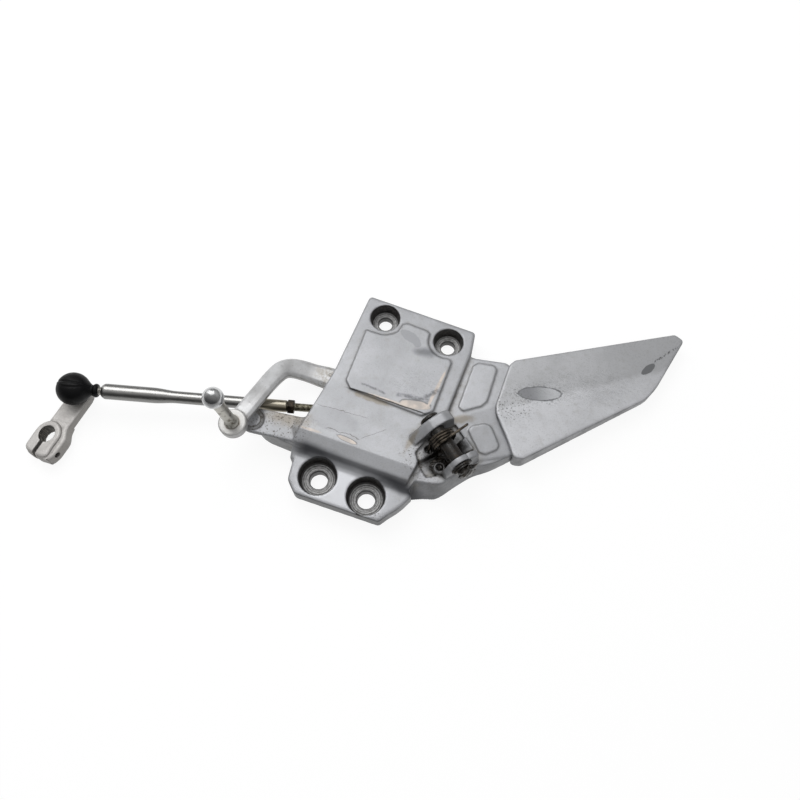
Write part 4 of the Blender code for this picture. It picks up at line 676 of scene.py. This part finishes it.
def rodSteel(values):
    g = Graph("brushed_rod")
    rear, front = rodEnds["rear"], rodEnds["front"]
    along = math.atan2(rear[1] - front[1], rear[0] - front[0])
    streak = g.noise(45.0, 4.0, 0.55, 0.0, (0.5, 16.0, 16.0), -along)
    colour = g.mix(g.step(streak, 0.3, 0.7), values["band"], values["colour"])
    normal = g.add("NewGeometry", output="Normal")
    upward = g.add("VectorMath", {0: normal, 1: values["upward"]}, "Value", operation="DOT_PRODUCT")
    lightBands = g.steps(g.step(upward, -1.0, 1.0), values["lightBands"])
    colour = g.mix(1.0, colour, lightBands, "MULTIPLY")
    spots = g.step(g.noise(380.0, 5.0, 0.7), 0.60, 0.68)
    share = g.maths("ADD", g.times(g.shape(values["scars"]), 0.60), 0.06)
    colour = g.over(colour, values["scar"], spots, share)
    colour = g.lay(colour, values["tarnish"])
    rough = g.step(streak, 0.3, 0.7, *values["rough"])
    return g.surface(colour, rough, values["metal"], g.bump(streak, 0.00004, 0.4))


# Plated steel of the toe peg: a bright smeared ball over a rusty stem
plated = {
    "stem": (0.46, 0.45, 0.41),
    "rust": (0.110, 0.090, 0.065),
    "ball": {
        "colour": (0.60, 0.605, 0.61),
        "patches": (((-0.0948, -0.1332, 0.0895), (0.0092, 0.0092, 0.0098), 0.0, 0.05, 300.0, 0.05),),
    },
    "smear": {
        "share": 0.70, "colour": (0.05, 0.05, 0.05),
        "patches": (((-0.0925, -0.1365, 0.0950), (0.0052, 0.0046, 0.008), 30.0, 0.9, 300.0, 0.4),),
    },
    "rough": (0.42, 0.22),
    "metal": 0.95,
}


def pegSteel(values):
    g = Graph("plated_peg")
    rust = g.step(g.noise(170.0, 5.0, 0.7), 0.50, 0.66)
    ball = g.shape(values["ball"])
    colour = g.mix(ball, g.mix(rust, values["stem"], values["rust"]), values["ball"]["colour"])
    colour = g.lay(colour, values["smear"])
    rough = g.blend(ball, *values["rough"])
    return g.surface(colour, rough, values["metal"], g.bump(g.noise(500.0, 4.0), 0.00010, 0.30))


# Small steels. Noise: scale, detail and roughness; turn: where it goes from dark to light; rough and metal:
# one level or a run over the noise; bump: depth and strength; edge: rounding; valley: reach of the painted
# shade in the grooves
studForm = {
    "noise": (350.0, 4.0, 0.65), "turn": (0.35, 0.68), "rough": 0.36, "metal": 0.9, "bump": (0.0001, 0.3),
    "valley": 0.0007, "grooveShade": (0.012, 0.010, 0.008),
}
steels = {
    "greasy_steel": {
        "noise": (240.0, 5.0, 0.7), "turn": (0.40, 0.72), "rough": (0.16, 0.50), "metal": (0.0, 0.8),
        "dark": (0.007, 0.006, 0.005), "light": (0.048, 0.039, 0.030), "bump": (0.0004, 0.6),
    },
    "oily_spring_wire": {
        "noise": (320.0, 5.0, 0.7), "turn": (0.38, 0.66), "rough": (0.22, 0.5), "metal": 0.85,
        "dark": (0.022, 0.018, 0.014), "light": (0.15, 0.125, 0.098), "bump": (0.0002, 0.4),
    },
    "brown_black_steel": {
        "noise": (300.0, 5.0, 0.7), "turn": (0.40, 0.72), "rough": (0.3, 0.6), "metal": 0.7,
        "dark": (0.010, 0.008, 0.006), "light": (0.090, 0.068, 0.044), "bump": (0.0003, 0.5), "edge": 0.0004,
    },
    "brown_stud": {**studForm, "dark": (0.085, 0.075, 0.048), "light": (0.36, 0.34, 0.26)},
    # painted shade: a darker steel for the splines inside the arm's bore
    "bore_steel": {**studForm, "dark": (0.030, 0.027, 0.022), "light": (0.200, 0.185, 0.155)},
    "bright_stud": {**studForm, "dark": (0.22, 0.21, 0.19), "light": (0.55, 0.54, 0.50)},
    "oiled_bronze": {
        "noise": (200.0, 4.0), "turn": (0.3, 0.7), "rough": 0.35, "metal": 1.0,
        "dark": (0.30, 0.19, 0.07), "light": (0.50, 0.36, 0.16), "bump": (0.0001, 0.3),
    },
}


def smallSteel(name, values):
    g = Graph(name)
    mottle = g.noise(*values["noise"])
    colour = g.mix(g.step(mottle, *values["turn"]), values["dark"], values["light"])
    if "valley" in values:
        # painted shade in the grooves
        valley = g.fall(g.hollow(values["valley"]), 0.45, 0.95)
        colour = g.over(colour, values["grooveShade"], valley, 0.85)
    rough = g.run(mottle, 0.3, 0.7, values["rough"])
    metal = g.run(mottle, 0.4, 0.7, values["metal"])
    normal = g.rounded(values["edge"]) if "edge" in values else None
    return g.surface(colour, rough, metal, g.bump(mottle, *values["bump"], normal))


rubberLook = {"colour": (0.0022, 0.0022, 0.0026), "dust": (0.05, 0.048, 0.046), "shine": 0.15}


def bootRubber(values):
    g = Graph("black_rubber")
    dust = g.step(g.noise(90.0, 5.0, 0.6), 0.55, 0.85, 0.0, 0.03)
    colour = g.mix(dust, values["colour"], values["dust"])
    rough = g.step(g.noise(160.0, 3.0), 0.3, 0.7, 0.36, 0.50)
    normal = g.bump(g.noise(1500.0, 3.0), 0.00008, 0.3)
    return g.surface(colour, rough, 0.0, normal, Specular_IOR_Level=values["shine"])


casting = castingPaint(silver, castingMarks)
guard = guardPaint(litGuardSilver, guardMarks)
pedal = pedalMetal(pedalPaint)
arm = blastedMetal(blasted)
rod = rodSteel(polished)
peg = pegSteel(plated)
steel = {name: smallSteel(name, values) for name, values in steels.items()}
greasy, wire, nut, brownStud, boreSteel, brightStud, bronze = steel.values()
rubber = bootRubber(rubberLook)

finishes = {
    "hanger_casting": casting, "heel_guard": guard, "guard_screw_upper": nut, "guard_screw_lower": nut,
    "clevis_pin": greasy, "clevis_washer": greasy, "clevis_clip": greasy, "pin_sleeve": greasy,
    "torsion_spring": wire, "gear_pedal": pedal, "toe_peg": peg, "pedal_bush": bronze,
    "pivot_washer": brownStud, "pedal_pivot_bolt": nut, "rear_ball_stud": brownStud, "rear_rod_end": nut,
    "rear_boot": rubber, "rear_locknut": nut, "linkage_rod": rod, "front_rod_end": brightStud,
    "front_ball_stud": brightStud, "front_boot": rubber, "shift_arm": arm,
}
for name, finish in finishes.items():
    paint(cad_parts[name], finish)
print("finishes done")


def addPiece(name, mesh, material, body, replaced=()):
    thing = bpy.data.objects.new(name, mesh)
    bpy.context.scene.collection.objects.link(thing)
    paint(thing, material)
    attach(thing, body)
    if replaced:
        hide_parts(*replaced)
    return thing


# Cast and forged pieces with every hard corner rounded, as the moulds leave them
softened = {
    "casting_soft": {
        "node": "hanger_casting", "body": "hanger", "slot": "cast_aluminium",
        "grain": 0.00062, "passes": 3, "keep": 0.39,
    },
    "guard_soft": {
        "node": "heel_guard", "body": "hanger", "slot": "cast_aluminium", "grain": 0.00062, "passes": 5,
    },
    "pedal_soft": {
        "node": "gear_pedal", "body": "pedal", "slot": "forged_aluminium", "grain": 0.00045, "passes": 5,
    },
    "arm_soft": {
        "node": "shift_arm", "body": "shift_lever", "slot": "blasted_aluminium",
        "grain": 0.00030, "passes": 3,
    },
}
weld = 0.000003


def makeSoft(name, values):
    # copy of the node: merged, covered with an even skin of small squares, and smoothed a few times
    shape = bmesh.new()
    shape.from_mesh(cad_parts[values["node"]].data)
    bmesh.ops.remove_doubles(shape, verts=shape.verts, dist=weld)
    rough = bpy.data.meshes.new(name + "_rough")
    shape.to_mesh(rough)
    shape.free()
    helper = bpy.data.objects.new(name + "_rough", rough)
    bpy.context.scene.collection.objects.link(helper)
    skin = helper.modifiers.new("skin", "REMESH")
    skin.mode = "VOXEL"
    skin.voxel_size = values["grain"]
    evened = helper.modifiers.new("evened", "SMOOTH")
    evened.factor = 0.5
    evened.iterations = values["passes"]
    if "keep" in values:
        fewer = helper.modifiers.new("fewer", "DECIMATE")
        fewer.ratio = values["keep"]
    whole = helper.evaluated_get(bpy.context.evaluated_depsgraph_get())
    mesh = bpy.data.meshes.new_from_object(whole)
    mesh.name = name
    bpy.data.objects.remove(helper)
    mesh.shade_smooth()
    node = values["node"]
    return addPiece(name, mesh, finishes[node], values["body"], [node])


for name, values in softened.items():
    made = makeSoft(name, values)
    print("soft copy:", name, len(made.data.polygons), "faces")


overhead = np.array((0.0, 0.0, 1.0))
nearAxis = 0.00001


def facing(degrees):
    # unit vectors along a heading and square to it
    turn = math.radians(degrees)
    along = np.array((math.cos(turn), math.sin(turn), 0.0))
    return along, np.array((-math.sin(turn), math.cos(turn), 0.0))


def axes(origin, along, upward):
    # local Z along, local Y as near as can be to upward
    third = np.asarray(along, float) / np.linalg.norm(along)
    first = np.cross(upward, third)
    first = first / np.linalg.norm(first)
    made = np.eye(4)
    made[:3, 0], made[:3, 1], made[:3, 2], made[:3, 3] = first, np.cross(third, first), third, origin
    return made


def moved(points, place):
    return points @ place[:3, :3].T + place[:3, 3]


def softLine(points, gap, blur):
    # points evenly along a line, each the weighted mean of those within the blur; the ends stay
    points = np.asarray(points, float)
    run = np.concatenate([[0.0], np.cumsum(np.linalg.norm(np.diff(points, axis=0), axis=1))])
    at = np.linspace(0.0, run[-1], max(12, int(run[-1] / gap)))
    even = np.stack([np.interp(at, run, column) for column in points.T], -1)
    half = max(1, int(blur / gap / 2))
    before = 2 * even[:1] - even[half:0:-1]
    after = 2 * even[-1:] - even[-2:-half - 2:-1]
    weight = np.hanning(2 * half + 3)[1:-1]
    longer = np.concatenate([before, even, after])
    return np.stack([np.convolve(column, weight / weight.sum(), "valid") for column in longer.T], -1)


def squares(row, after, around):
    # faces between each row of points and the one after it, from the numbers of their first points
    here = np.arange(around)[None, :]
    beside = (here + 1) % around
    return np.stack([row + here, row + beside, after + beside, after + here], -1).reshape(-1, 4).tolist()


def smoothMesh(name, points, faces, smooth):
    mesh = bpy.data.meshes.new(name)
    mesh.from_pydata(points.tolist(), [], faces)
    mesh.shade_smooth()
    mesh.set_sharp_from_angle(angle=math.radians(smooth))
    return mesh


def closedMesh(name, rings, smooth=50.0):
    # rings are (along, around, xyz); each end closes on the middle of its last ring
    count, around = rings.shape[:2]
    points = np.concatenate([rings.reshape(-1, 3), rings[:1].mean(1), rings[-1:].mean(1)])
    row = np.arange(count - 1)[:, None] * around
    here = np.arange(around)
    beside = (here + 1) % around
    first = np.full(around, count * around)
    top = (count - 1) * around
    start = np.stack([first, beside, here], -1)
    end = np.stack([first + 1, top + here, top + beside], -1)
    faces = squares(row, row + around, around) + start.tolist() + end.tolist()
    return smoothMesh(name, points, faces, smooth)


def polar(radius, turn, height):
    return np.stack([radius * np.cos(turn), radius * np.sin(turn), height + 0.0 * turn], -1)


def revolved(profile, around):
    # radius and height of each profile point, turned round local Z
    turn = np.linspace(0.0, math.tau, around, endpoint=False)
    profile = np.asarray(profile, float)
    radius, height = profile[:, :1], profile[:, 1:]
    return polar(radius, turn, height)


# Toe peg: a shouldered stem under a ball
pegShape = {
    "foot": (-0.0911, -0.1304, 0.0400), "lean": 4.6, "heading": 217.0, "stem": 0.0044, "ball": 0.0075,
    "length": 0.0500, "boss": 0.0075, "tail": 0.0034, "around": 56,
}


def makePeg(values):
    # a profile of stem and ball turned round the leaning axis
    lean, heading = math.radians(values["lean"]), math.radians(values["heading"])
    along = (math.sin(lean) * math.cos(heading), math.sin(lean) * math.sin(heading), math.cos(lean))
    stem, ball, tail = values["stem"], values["ball"], values["tail"]
    boss, collar, waist = values["boss"], stem + 0.0010, stem - 0.0002
    neck = math.asin(stem / ball)
    low = softLine([
        (nearAxis, -boss - 0.0012), (tail + 0.0006, -boss - 0.0010), (tail + 0.0006, -boss - 0.0002),
        (tail, -boss), (tail, 0.0003), (collar, 0.0003), (collar, 0.0014), (waist, 0.0022),
        (waist, 0.0330), (stem, 0.0345), (stem, values["length"] - ball * math.cos(neck) - 0.0004),
    ], 0.00030, 0.0008)
    turn = np.linspace(math.pi - neck, 0.01, 26)
    high = np.stack([ball * np.sin(turn), values["length"] + ball * np.cos(turn)], -1)
    rings = revolved(np.concatenate([low, high]), values["around"])
    rings = moved(rings, axes(values["foot"], along, (0.0, 1.0, 0.0)))
    addPiece("peg_turned", closedMesh("peg_turned", rings), peg, "pedal", ["toe_peg"])


makePeg(pegShape)


# Linkage rod: slim at the rear, thick at the front, with chamfered ends
rodShape = {
    "rear": 0.0372, "front": 0.0215, "thick": 0.0059, "slim": 0.0046, "face": 0.0040, "grip": 0.0389,
    "taper": 0.0180, "bore": 0.0032, "deep": 0.004, "around": 64,
}
rearBall, frontBall = np.array(rodEnds["rear"]), np.array(rodEnds["front"])
rodAlong = (frontBall - rearBall) / np.linalg.norm(frontBall - rearBall)
rodLength = float(np.linalg.norm(frontBall - rearBall))


def makeRod(values):
    # a profile turned round the line from ball to ball, with a shallow bore in each end
    start, end = values["rear"], rodLength - values["front"]
    slim, thick, face = values["slim"], values["thick"], values["face"]
    bore, deep = values["bore"], values["deep"]
    share = np.linspace(0.0, 1.0, 20)
    wide = slim + (thick - slim) * (0.5 - 0.5 * np.cos(math.pi * share))
    swell = np.stack([wide, end - values["grip"] - values["taper"] * (1.0 - share)], -1)
    profile = [
        (nearAxis, start + deep), (bore, start + deep), (bore, start), (slim - 0.0006, start),
        (slim, start + 0.0007), (slim, start + 0.02), *swell.tolist(), (thick, end - 0.0030),
        (thick - 0.0001, end - 0.0024), (face + 0.0001, end - 0.0001), (face, end), (bore, end),
        (bore, end - deep), (nearAxis, end - deep),
    ]
    rings = revolved(softLine(profile, 0.0006, 0.0007), values["around"])
    rings = moved(rings, axes(rearBall, rodAlong, overhead))
    addPiece("rod_turned", closedMesh("rod_turned", rings, 40.0), rod, "rod", ["linkage_rod"])


makeRod(rodShape)


# Splines in the bore of the shift arm, open at the slit
splineShape = {
    "up": (-0.1899, 0.0186, 0.9816), "heading": 264.4, "drop": 0.0110, "length": 0.0377, "aside": -0.0021,
    "teeth": 30, "tip": 0.00642, "root": 0.00700, "back": 0.00745, "slit": 0.30, "low": -0.0080,
    "high": 0.0024, "steps": 14,
}


def makeSplines(values):
    # a square section carried round the bore, whose inner radius swings between tip and root
    up = np.array(values["up"])
    along = facing(values["heading"])[0]
    side = np.cross(up, along)
    centre = frontBall - up * values["drop"] + along * values["length"] + side * values["aside"]
    turn = np.linspace(values["slit"], math.tau - values["slit"], values["teeth"] * values["steps"])[:, None]
    wave = np.clip(0.5 + 0.9 * np.cos(values["teeth"] * turn), 0.0, 1.0)
    inner = values["tip"] + (values["root"] - values["tip"]) * wave
    outer = values["back"] + 0.0 * turn
    radius = np.concatenate([inner, inner, outer, outer], 1)
    height = np.array([values["low"], values["high"], values["high"], values["low"]])
    mesh = closedMesh("bore_splines", moved(polar(radius, turn, height), axes(centre, up, side)), 30.0)
    addPiece("bore_splines", mesh, boreSteel, "shift_lever")


makeSplines(splineShape)


# Threads on the two studs of the linkage
threads = {
    "rear_thread": {
        "ball": rearBall, "along": rodAlong, "start": 0.0150, "end": 0.0385,
        "material": brownStud, "slot": "dark_steel",
    },
    "front_thread": {
        "ball": frontBall, "along": -rodAlong, "start": 0.0165, "end": 0.0245,
        "material": brightStud, "slot": "steel",
    },
}
threadForm = {"root": 0.00292, "crest": 0.00312, "pitch": 0.0010, "around": 40, "rows": 12}


def makeThread(name, values):
    # radius swings between root and crest with height over pitch less the turn, and fades at both ends
    start, end, pitch, root = values["start"], values["end"], threadForm["pitch"], threadForm["root"]
    height = np.linspace(start, end, int((end - start) / pitch * threadForm["rows"]))[:, None]
    turn = np.linspace(0.0, math.tau, threadForm["around"], endpoint=False)[None, :]
    wave = 0.5 + 0.5 * np.cos(math.tau * height / pitch - turn)
    fade = np.clip(np.minimum(height - start, end - height) / pitch, 0.0, 1.0)
    radius = root + (threadForm["crest"] - root) * wave * fade
    points = moved(polar(radius, turn, height), axes(values["ball"], values["along"], overhead))
    addPiece(name, closedMesh(name, points, 80.0), values["material"], "rod")


for name, values in threads.items():
    makeThread(name, values)
print("rod, peg and threads done")


# Rubber boots on the ball joints: a bulb with two creases, a foot round the stud and a lipped neck on the rod
boots = {
    "front_boot_soft": {
        "node": "front_boot", "centre": frontBall, "up": splineShape["up"], "along": -rodAlong,
        "radius": 0.0127, "height": 0.0112, "foot": 0.0104, "neck": 0.0142,
        "folds": (
            (0.00070, 0.00050, 0.0053, -0.07, -10.0), (-0.00030, 0.00060, 0.0024, 0.02, 9.0),
            (0.00025, 0.0009, 0.0010, 0.02, 8.0),
        ),
    },
    "rear_boot_soft": {
        "node": "rear_boot", "centre": rearBall, "up": overhead, "along": rodAlong,
        "radius": 0.0112, "height": 0.0083, "foot": 0.0082, "neck": 0.0108,
        "folds": ((0.00040, 0.0006, -0.0040, 0.0, 0.0),),
    },
}
bootForm = {
    "girth": 0.0042, "lip": 0.0053, "footRing": 0.0080, "footEdge": 0.0007, "grooveWide": 0.0006,
    "grooveDeep": 0.0005, "foldTilt": 21.5, "around": 160,
}


def makeBoot(name, values):
    # rings across the neck's axis, flattened along the stud's, pressed in along lines and squared at the foot
    radius, height, neck = values["radius"], values["height"], values["neck"]
    girth, lip = bootForm["girth"], bootForm["lip"]
    flat = height / radius
    turn = np.linspace(math.pi - 0.02, 0.95, 70)
    bulb = np.stack([radius * np.sin(turn), radius * np.cos(turn)], -1)
    wide, far = bulb[-1]
    share = np.linspace(0.0, 1.0, 26)[1:]
    fall = share * share * (3.0 - 2.0 * share)
    taper = np.stack([wide + (girth - wide) * (0.55 * share + 0.45 * fall), far + (neck - far) * share], -1)
    end = softLine([
        (girth, neck + 0.0001), (girth, neck + 0.0010), (lip - 0.0002, neck + 0.0022), (lip, neck + 0.0032),
        (lip - 0.0004, neck + 0.0044), (girth, neck + 0.0050), (0.0034, neck + 0.0050),
    ], 0.00018, 0.0009)
    profile = np.concatenate([bulb, taper, end])
    around = np.linspace(0.0, math.tau, bootForm["around"], endpoint=False)
    reach, place = profile[:, :1], profile[:, 1:]
    inBulb = np.clip((neck - place) / (neck - radius * 0.3), 0.0, 1.0)
    tilt = math.radians(bootForm["foldTilt"])
    over = np.clip(np.cos(around) * 2.5 + 0.4, 0.0, 1.0)
    across = reach * (np.sin(around) * math.cos(tilt) + np.cos(around) * math.sin(tilt))
    for depth, width, offset, slope, curve in values["folds"]:
        line = offset + slope * place + curve * place * place
        window = np.clip((radius * 0.95 - place) / (radius * 0.4), 0.0, 1.0) * over
        reach = reach - depth * np.exp(-(((across - line) / width) ** 2)) * window
    upward = reach * np.cos(around) * (1.0 + (flat - 1.0) * inBulb)
    across = reach * np.sin(around)
    along = place + 0.0 * around
    # the foot: below the ring's level the bulb narrows to an upright wall and a flat face
    ring = bootForm["footRing"]
    level = -height * math.sqrt(1.0 - (ring / radius) ** 2)
    out = np.sqrt(along ** 2 + across ** 2)
    drop = np.clip((ring - out) / bootForm["footEdge"], 0.0, 1.0)
    low = (upward < level * 0.985) & (out < ring)
    upward = np.where(low, level + (-values["foot"] - level) * drop, upward)
    groove = np.exp(-(((out - ring) / bootForm["grooveWide"]) ** 2)) * (upward < level * 0.85)
    upward = upward + bootForm["grooveDeep"] * groove * (~low)
    up = np.array(values["up"])
    side = np.cross(values["along"], up)
    side = side / np.linalg.norm(side)
    up = np.cross(side, values["along"])
    points = values["centre"] + upward[..., None] * up - across[..., None] * side
    points = points + along[..., None] * values["along"]
    addPiece(name, closedMesh(name, points, 70.0), rubber, "rod", [values["node"]])


for name, values in boots.items():
    makeBoot(name, values)


# Return spring: coil round the pin with a leg in the drilled hole and one towards the neck
clevis = {"centre": (0.0583, -0.0835, 0.0330), "angle": -35.0}
springShape = {
    **clevis, "wire": 0.00095, "coil": 0.00905, "turns": 3.25, "pitch": 0.00207, "start": -0.0086,
    "leg": 0.0195, "ahead": (1.0, 0.03, -0.06), "hole": (-0.0065, -0.0115), "holeTop": 0.0250,
    "holeDeep": 0.0065, "tipGap": 0.0012, "mouthGap": 0.0005, "bend": (0.0016, -0.0036, -0.0012),
    "around": 18,
}


def makeSpring(values):
    # a helix between two straight legs, softened at the bends, with a circle carried along it
    along, across = facing(values["angle"])
    (aside, out), bend, lift = values["hole"], values["bend"], values["centre"][2]
    total = values["turns"] * math.tau
    share = np.linspace(0.0, 1.0, 260)[:, None]
    swing = math.pi - total * share
    rise = values["start"] + values["pitch"] * values["turns"] * share
    coil = np.concatenate([values["coil"] * np.cos(swing), values["coil"] * np.sin(swing), rise], 1)
    floor = values["holeTop"] - values["holeDeep"] - lift + values["tipGap"]
    mouth = values["holeTop"] - lift + values["mouthGap"]
    first = np.array([(out, floor, aside), (out, mouth, aside), (out + bend[0], bend[1], aside + bend[2])])
    ahead = np.array(values["ahead"]) / np.linalg.norm(values["ahead"])
    last = coil[-1] + ahead * np.linspace(0.25, 1.0, 4)[:, None] * values["leg"]
    path = softLine(np.concatenate([first, coil, last]), 0.0005, 0.0032)
    line = np.array(values["centre"]) + path[:, :1] * across + path[:, 1:2] * overhead + path[:, 2:] * along
    ahead = np.gradient(line, axis=0)
    ahead = ahead / np.linalg.norm(ahead, axis=1)[:, None]
    side = np.cross(ahead, along)
    side = side / np.linalg.norm(side, axis=1)[:, None]
    other = np.cross(ahead, side)
    around = np.linspace(0.0, math.tau, values["around"], endpoint=False)
    size = np.full(len(line), values["wire"])
    size[[0, -1]] *= 0.55
    size[[1, -2]] *= 0.88
    ring = side[:, None] * np.cos(around)[None, :, None] + other[:, None] * np.sin(around)[None, :, None]
    mesh = closedMesh("spring_wire", line[:, None] + ring * size[:, None, None])
    addPiece("spring_wire", mesh, wire, "hanger", ["torsion_spring"])


makeSpring(springShape)
print("boots and spring done")


# Crest of the lower lug, closed over the pin
crestShape = {
    **clevis, "inner": 0.0050, "outer": 0.0083, "near": 0.0137, "far": 0.0181, "start": -18.0, "end": 198.0,
    "round": 0.45,
}


def makeCrest(values):
    # a softly squared section carried over the pin in an arch
    along, across = facing(values["angle"])
    swing = np.radians(np.linspace(values["start"], values["end"], 60))[:, None]
    around = np.linspace(0.0, math.tau, 40, endpoint=False)[None, :]
    high = np.sign(np.cos(around)) * np.abs(np.cos(around)) ** values["round"]
    wide = np.sign(np.sin(around)) * np.abs(np.sin(around)) ** values["round"]
    inner, outer, near, far = values["inner"], values["outer"], values["near"], values["far"]
    radius = (inner + outer) / 2 + (outer - inner) / 2 * high
    place = (near + far) / 2 + (far - near) / 2 * wide
    points = np.array(values["centre"]) + (radius * np.cos(swing))[..., None] * across
    points = points + (radius * np.sin(swing))[..., None] * overhead
    points = points + (place + 0.0 * swing)[..., None] * along
    addPiece("lug_crest", closedMesh("lug_crest", points), casting, "hanger")


makeCrest(crestShape)


# Rings that the bolt heads pressed into the counterbore floors; each ridge has a height, a place and a width
ringShape = {
    "gap": 0.0002, "reach": 0.93, "lift": 0.00004, "below": 0.0005, "around": 72,
    "ridges": ((0.00030, 0.12, 0.07), (0.00022, 0.55, 0.10), (0.00030, 0.80, 0.05)),
}


def makeRing(name, place, size, values):
    # an annulus whose height follows the ridges, closed below the floor
    inner, outer, floor = size["hole"] + values["gap"], size["wide"] * values["reach"], size["floor"]
    share = np.linspace(0.0, 1.0, 60)
    ridge = sum(high * np.exp(-(((share - at) / wide) ** 2)) for high, at, wide in values["ridges"])
    top = np.stack([inner + (outer - inner) * share, floor + values["lift"] + ridge], -1)
    base = np.array([(outer, floor - values["below"]), (inner, floor - values["below"])])
    rings = revolved(np.concatenate([top, base]), values["around"])[::-1] + np.array((*place, 0.0))
    count, around = rings.shape[:2]
    row = np.arange(count)[:, None] * around
    faces = squares(row, (row + around) % (count * around), around)
    mesh = smoothMesh(name, rings.reshape(-1, 3), faces, 40.0)
    addPiece(name, mesh, casting, "hanger")


for side, size in bolts.items():
    for number, place in enumerate(size["places"]):
        makeRing("bolt_mark_{}_{}".format(side, number + 1), place, size, ringShape)


# Lumps of old grease on the clip and in the clevis
lumps = {
    "grease_clip": {
        "centre": (0.0790, -0.0960, 0.0320), "size": (0.0072, 0.0030, 0.0078), "turn": 55.0, "rough": 0.30,
        "seed": 1.0,
    },
    "grease_mouth": {
        "centre": (0.0570, -0.0960, 0.0205), "size": (0.0062, 0.0042, 0.0022), "turn": 40.0, "rough": 0.38,
        "seed": 2.3,
    },
    "grease_pocket": {
        "centre": (0.0600, -0.0870, 0.0190), "size": (0.0080, 0.0050, 0.0028), "turn": -30.0, "rough": 0.35,
        "seed": 4.1,
    },
}


def makeLump(name, values):
    # an ellipsoid whose radius is swelled and pinched by crossing sine waves
    tall = np.linspace(0.06, math.pi - 0.06, 46)[:, None]
    turn = np.linspace(0.0, math.tau, 72, endpoint=False)[None, :]
    seed = values["seed"]
    wave = np.sin(3.0 * turn + seed) * np.sin(4.0 * tall + seed)
    wave = wave + 0.7 * np.sin(5.0 * turn - 2.0 * seed) * np.sin(6.0 * tall)
    wave = wave + 0.45 * np.sin(11.0 * turn + 3.0 * seed) * np.sin(9.0 * tall + seed)
    wave = wave * np.sin(tall)
    radius = 1.0 + values["rough"] * 0.5 * wave
    width, depth, height = values["size"]
    along, beside = facing(values["turn"])
    across = radius * np.sin(tall) * np.cos(turn) * width
    deep = radius * np.sin(tall) * np.sin(turn) * depth
    up = -radius * np.cos(tall) * height + 0.0 * turn
    points = np.array(values["centre"]) + across[..., None] * along + deep[..., None] * beside
    points = points + up[..., None] * overhead
    addPiece(name, closedMesh(name, points, 80.0), greasy, "hanger")


for name, values in lumps.items():
    makeLump(name, values)
print("bolt marks and grease done")

# Light: a pale room, brightest overhead, and two soft boxes
studio = {
    "sky": 0.70, "horizon": 0.26, "front": 0.12, "behind": 0.85,
    "frontRun": (-0.9, -0.1), "behindRun": (0.15, 0.75),
    "floorSize": 5.0, "floorGlow": 0.86, "floorLevel": 1.05, "floorDrop": 0.0002,
}
softBoxes = {
    "key_box": {"place": (-0.38, 0.34, 0.98), "width": 0.8, "depth": 0.7, "power": 4.4},
    "fill_box": {"place": (-0.75, 0.25, 0.55), "width": 0.5, "depth": 0.7, "power": 1.2},
}
middle = (-0.02, -0.07, 0.02)


def makeWorld(values):
    g = Graph("room", world=True)
    direction = g.add("TexCoord", output="Generated")
    depth = g.axis(direction, "Y")
    height = g.step(g.axis(direction, "Z"), 0.0, 1.0, values["horizon"], values["sky"])
    ahead = g.step(depth, *values["frontRun"], values["front"] / values["horizon"], 1.0)
    behind = g.step(depth, *values["behindRun"], 1.0, values["behind"])
    light = g.add("Background", {"Color": (1.0, 1.0, 1.0, 1.0), "Strength": g.times(height, ahead, behind)})
    g.add("OutputWorld", {"Surface": light})
    bpy.context.scene.world = g.owner


def makeSoftBox(name, values):
    data = bpy.data.lights.new(name, "AREA")
    data.shape = "RECTANGLE"
    data.size = values["width"]
    data.size_y = values["depth"]
    data.energy = values["power"]
    thing = bpy.data.objects.new(name, data)
    thing.location = values["place"]
    thing.rotation_euler = (Vector(middle) - Vector(values["place"])).to_track_quat("-Z", "Y").to_euler()
    bpy.context.scene.collection.objects.link(thing)


def makeFloor(values):
    half, level = values["floorSize"] / 2.0, cadLow.z - values["floorDrop"]
    mesh = bpy.data.meshes.new("floor")
    corners = [(-half, -half, level), (half, -half, level), (half, half, level), (-half, half, level)]
    mesh.from_pydata(corners, [], [(0, 1, 2, 3)])
    thing = bpy.data.objects.new("floor", mesh)
    bpy.context.scene.collection.objects.link(thing)
    g = Graph("white_floor")
    path = g.tree.nodes.new("ShaderNodeLightPath")
    seen = g.maths("ADD", path.outputs["Is Camera Ray"], path.outputs["Is Glossy Ray"], True)
    seen = g.maths("ADD", seen, path.outputs["Is Transmission Ray"], True)
    share = g.times(seen, values["floorGlow"])
    matt = g.add("BsdfDiffuse", {"Color": (0.92, 0.92, 0.92, 1.0)})
    white = g.add("Emission", {"Color": (1.0, 1.0, 1.0, 1.0), "Strength": values["floorLevel"]})
    both = g.tree.nodes.new("ShaderNodeMixShader")
    g.tree.links.new(share, both.inputs[0])
    g.tree.links.new(matt, both.inputs[1])
    g.tree.links.new(white, both.inputs[2])
    g.add("OutputMaterial", {"Surface": both.outputs[0]})
    thing.data.materials.append(g.owner)


makeWorld(studio)
for name, values in softBoxes.items():
    makeSoftBox(name, values)
makeFloor(studio)
print("studio done")
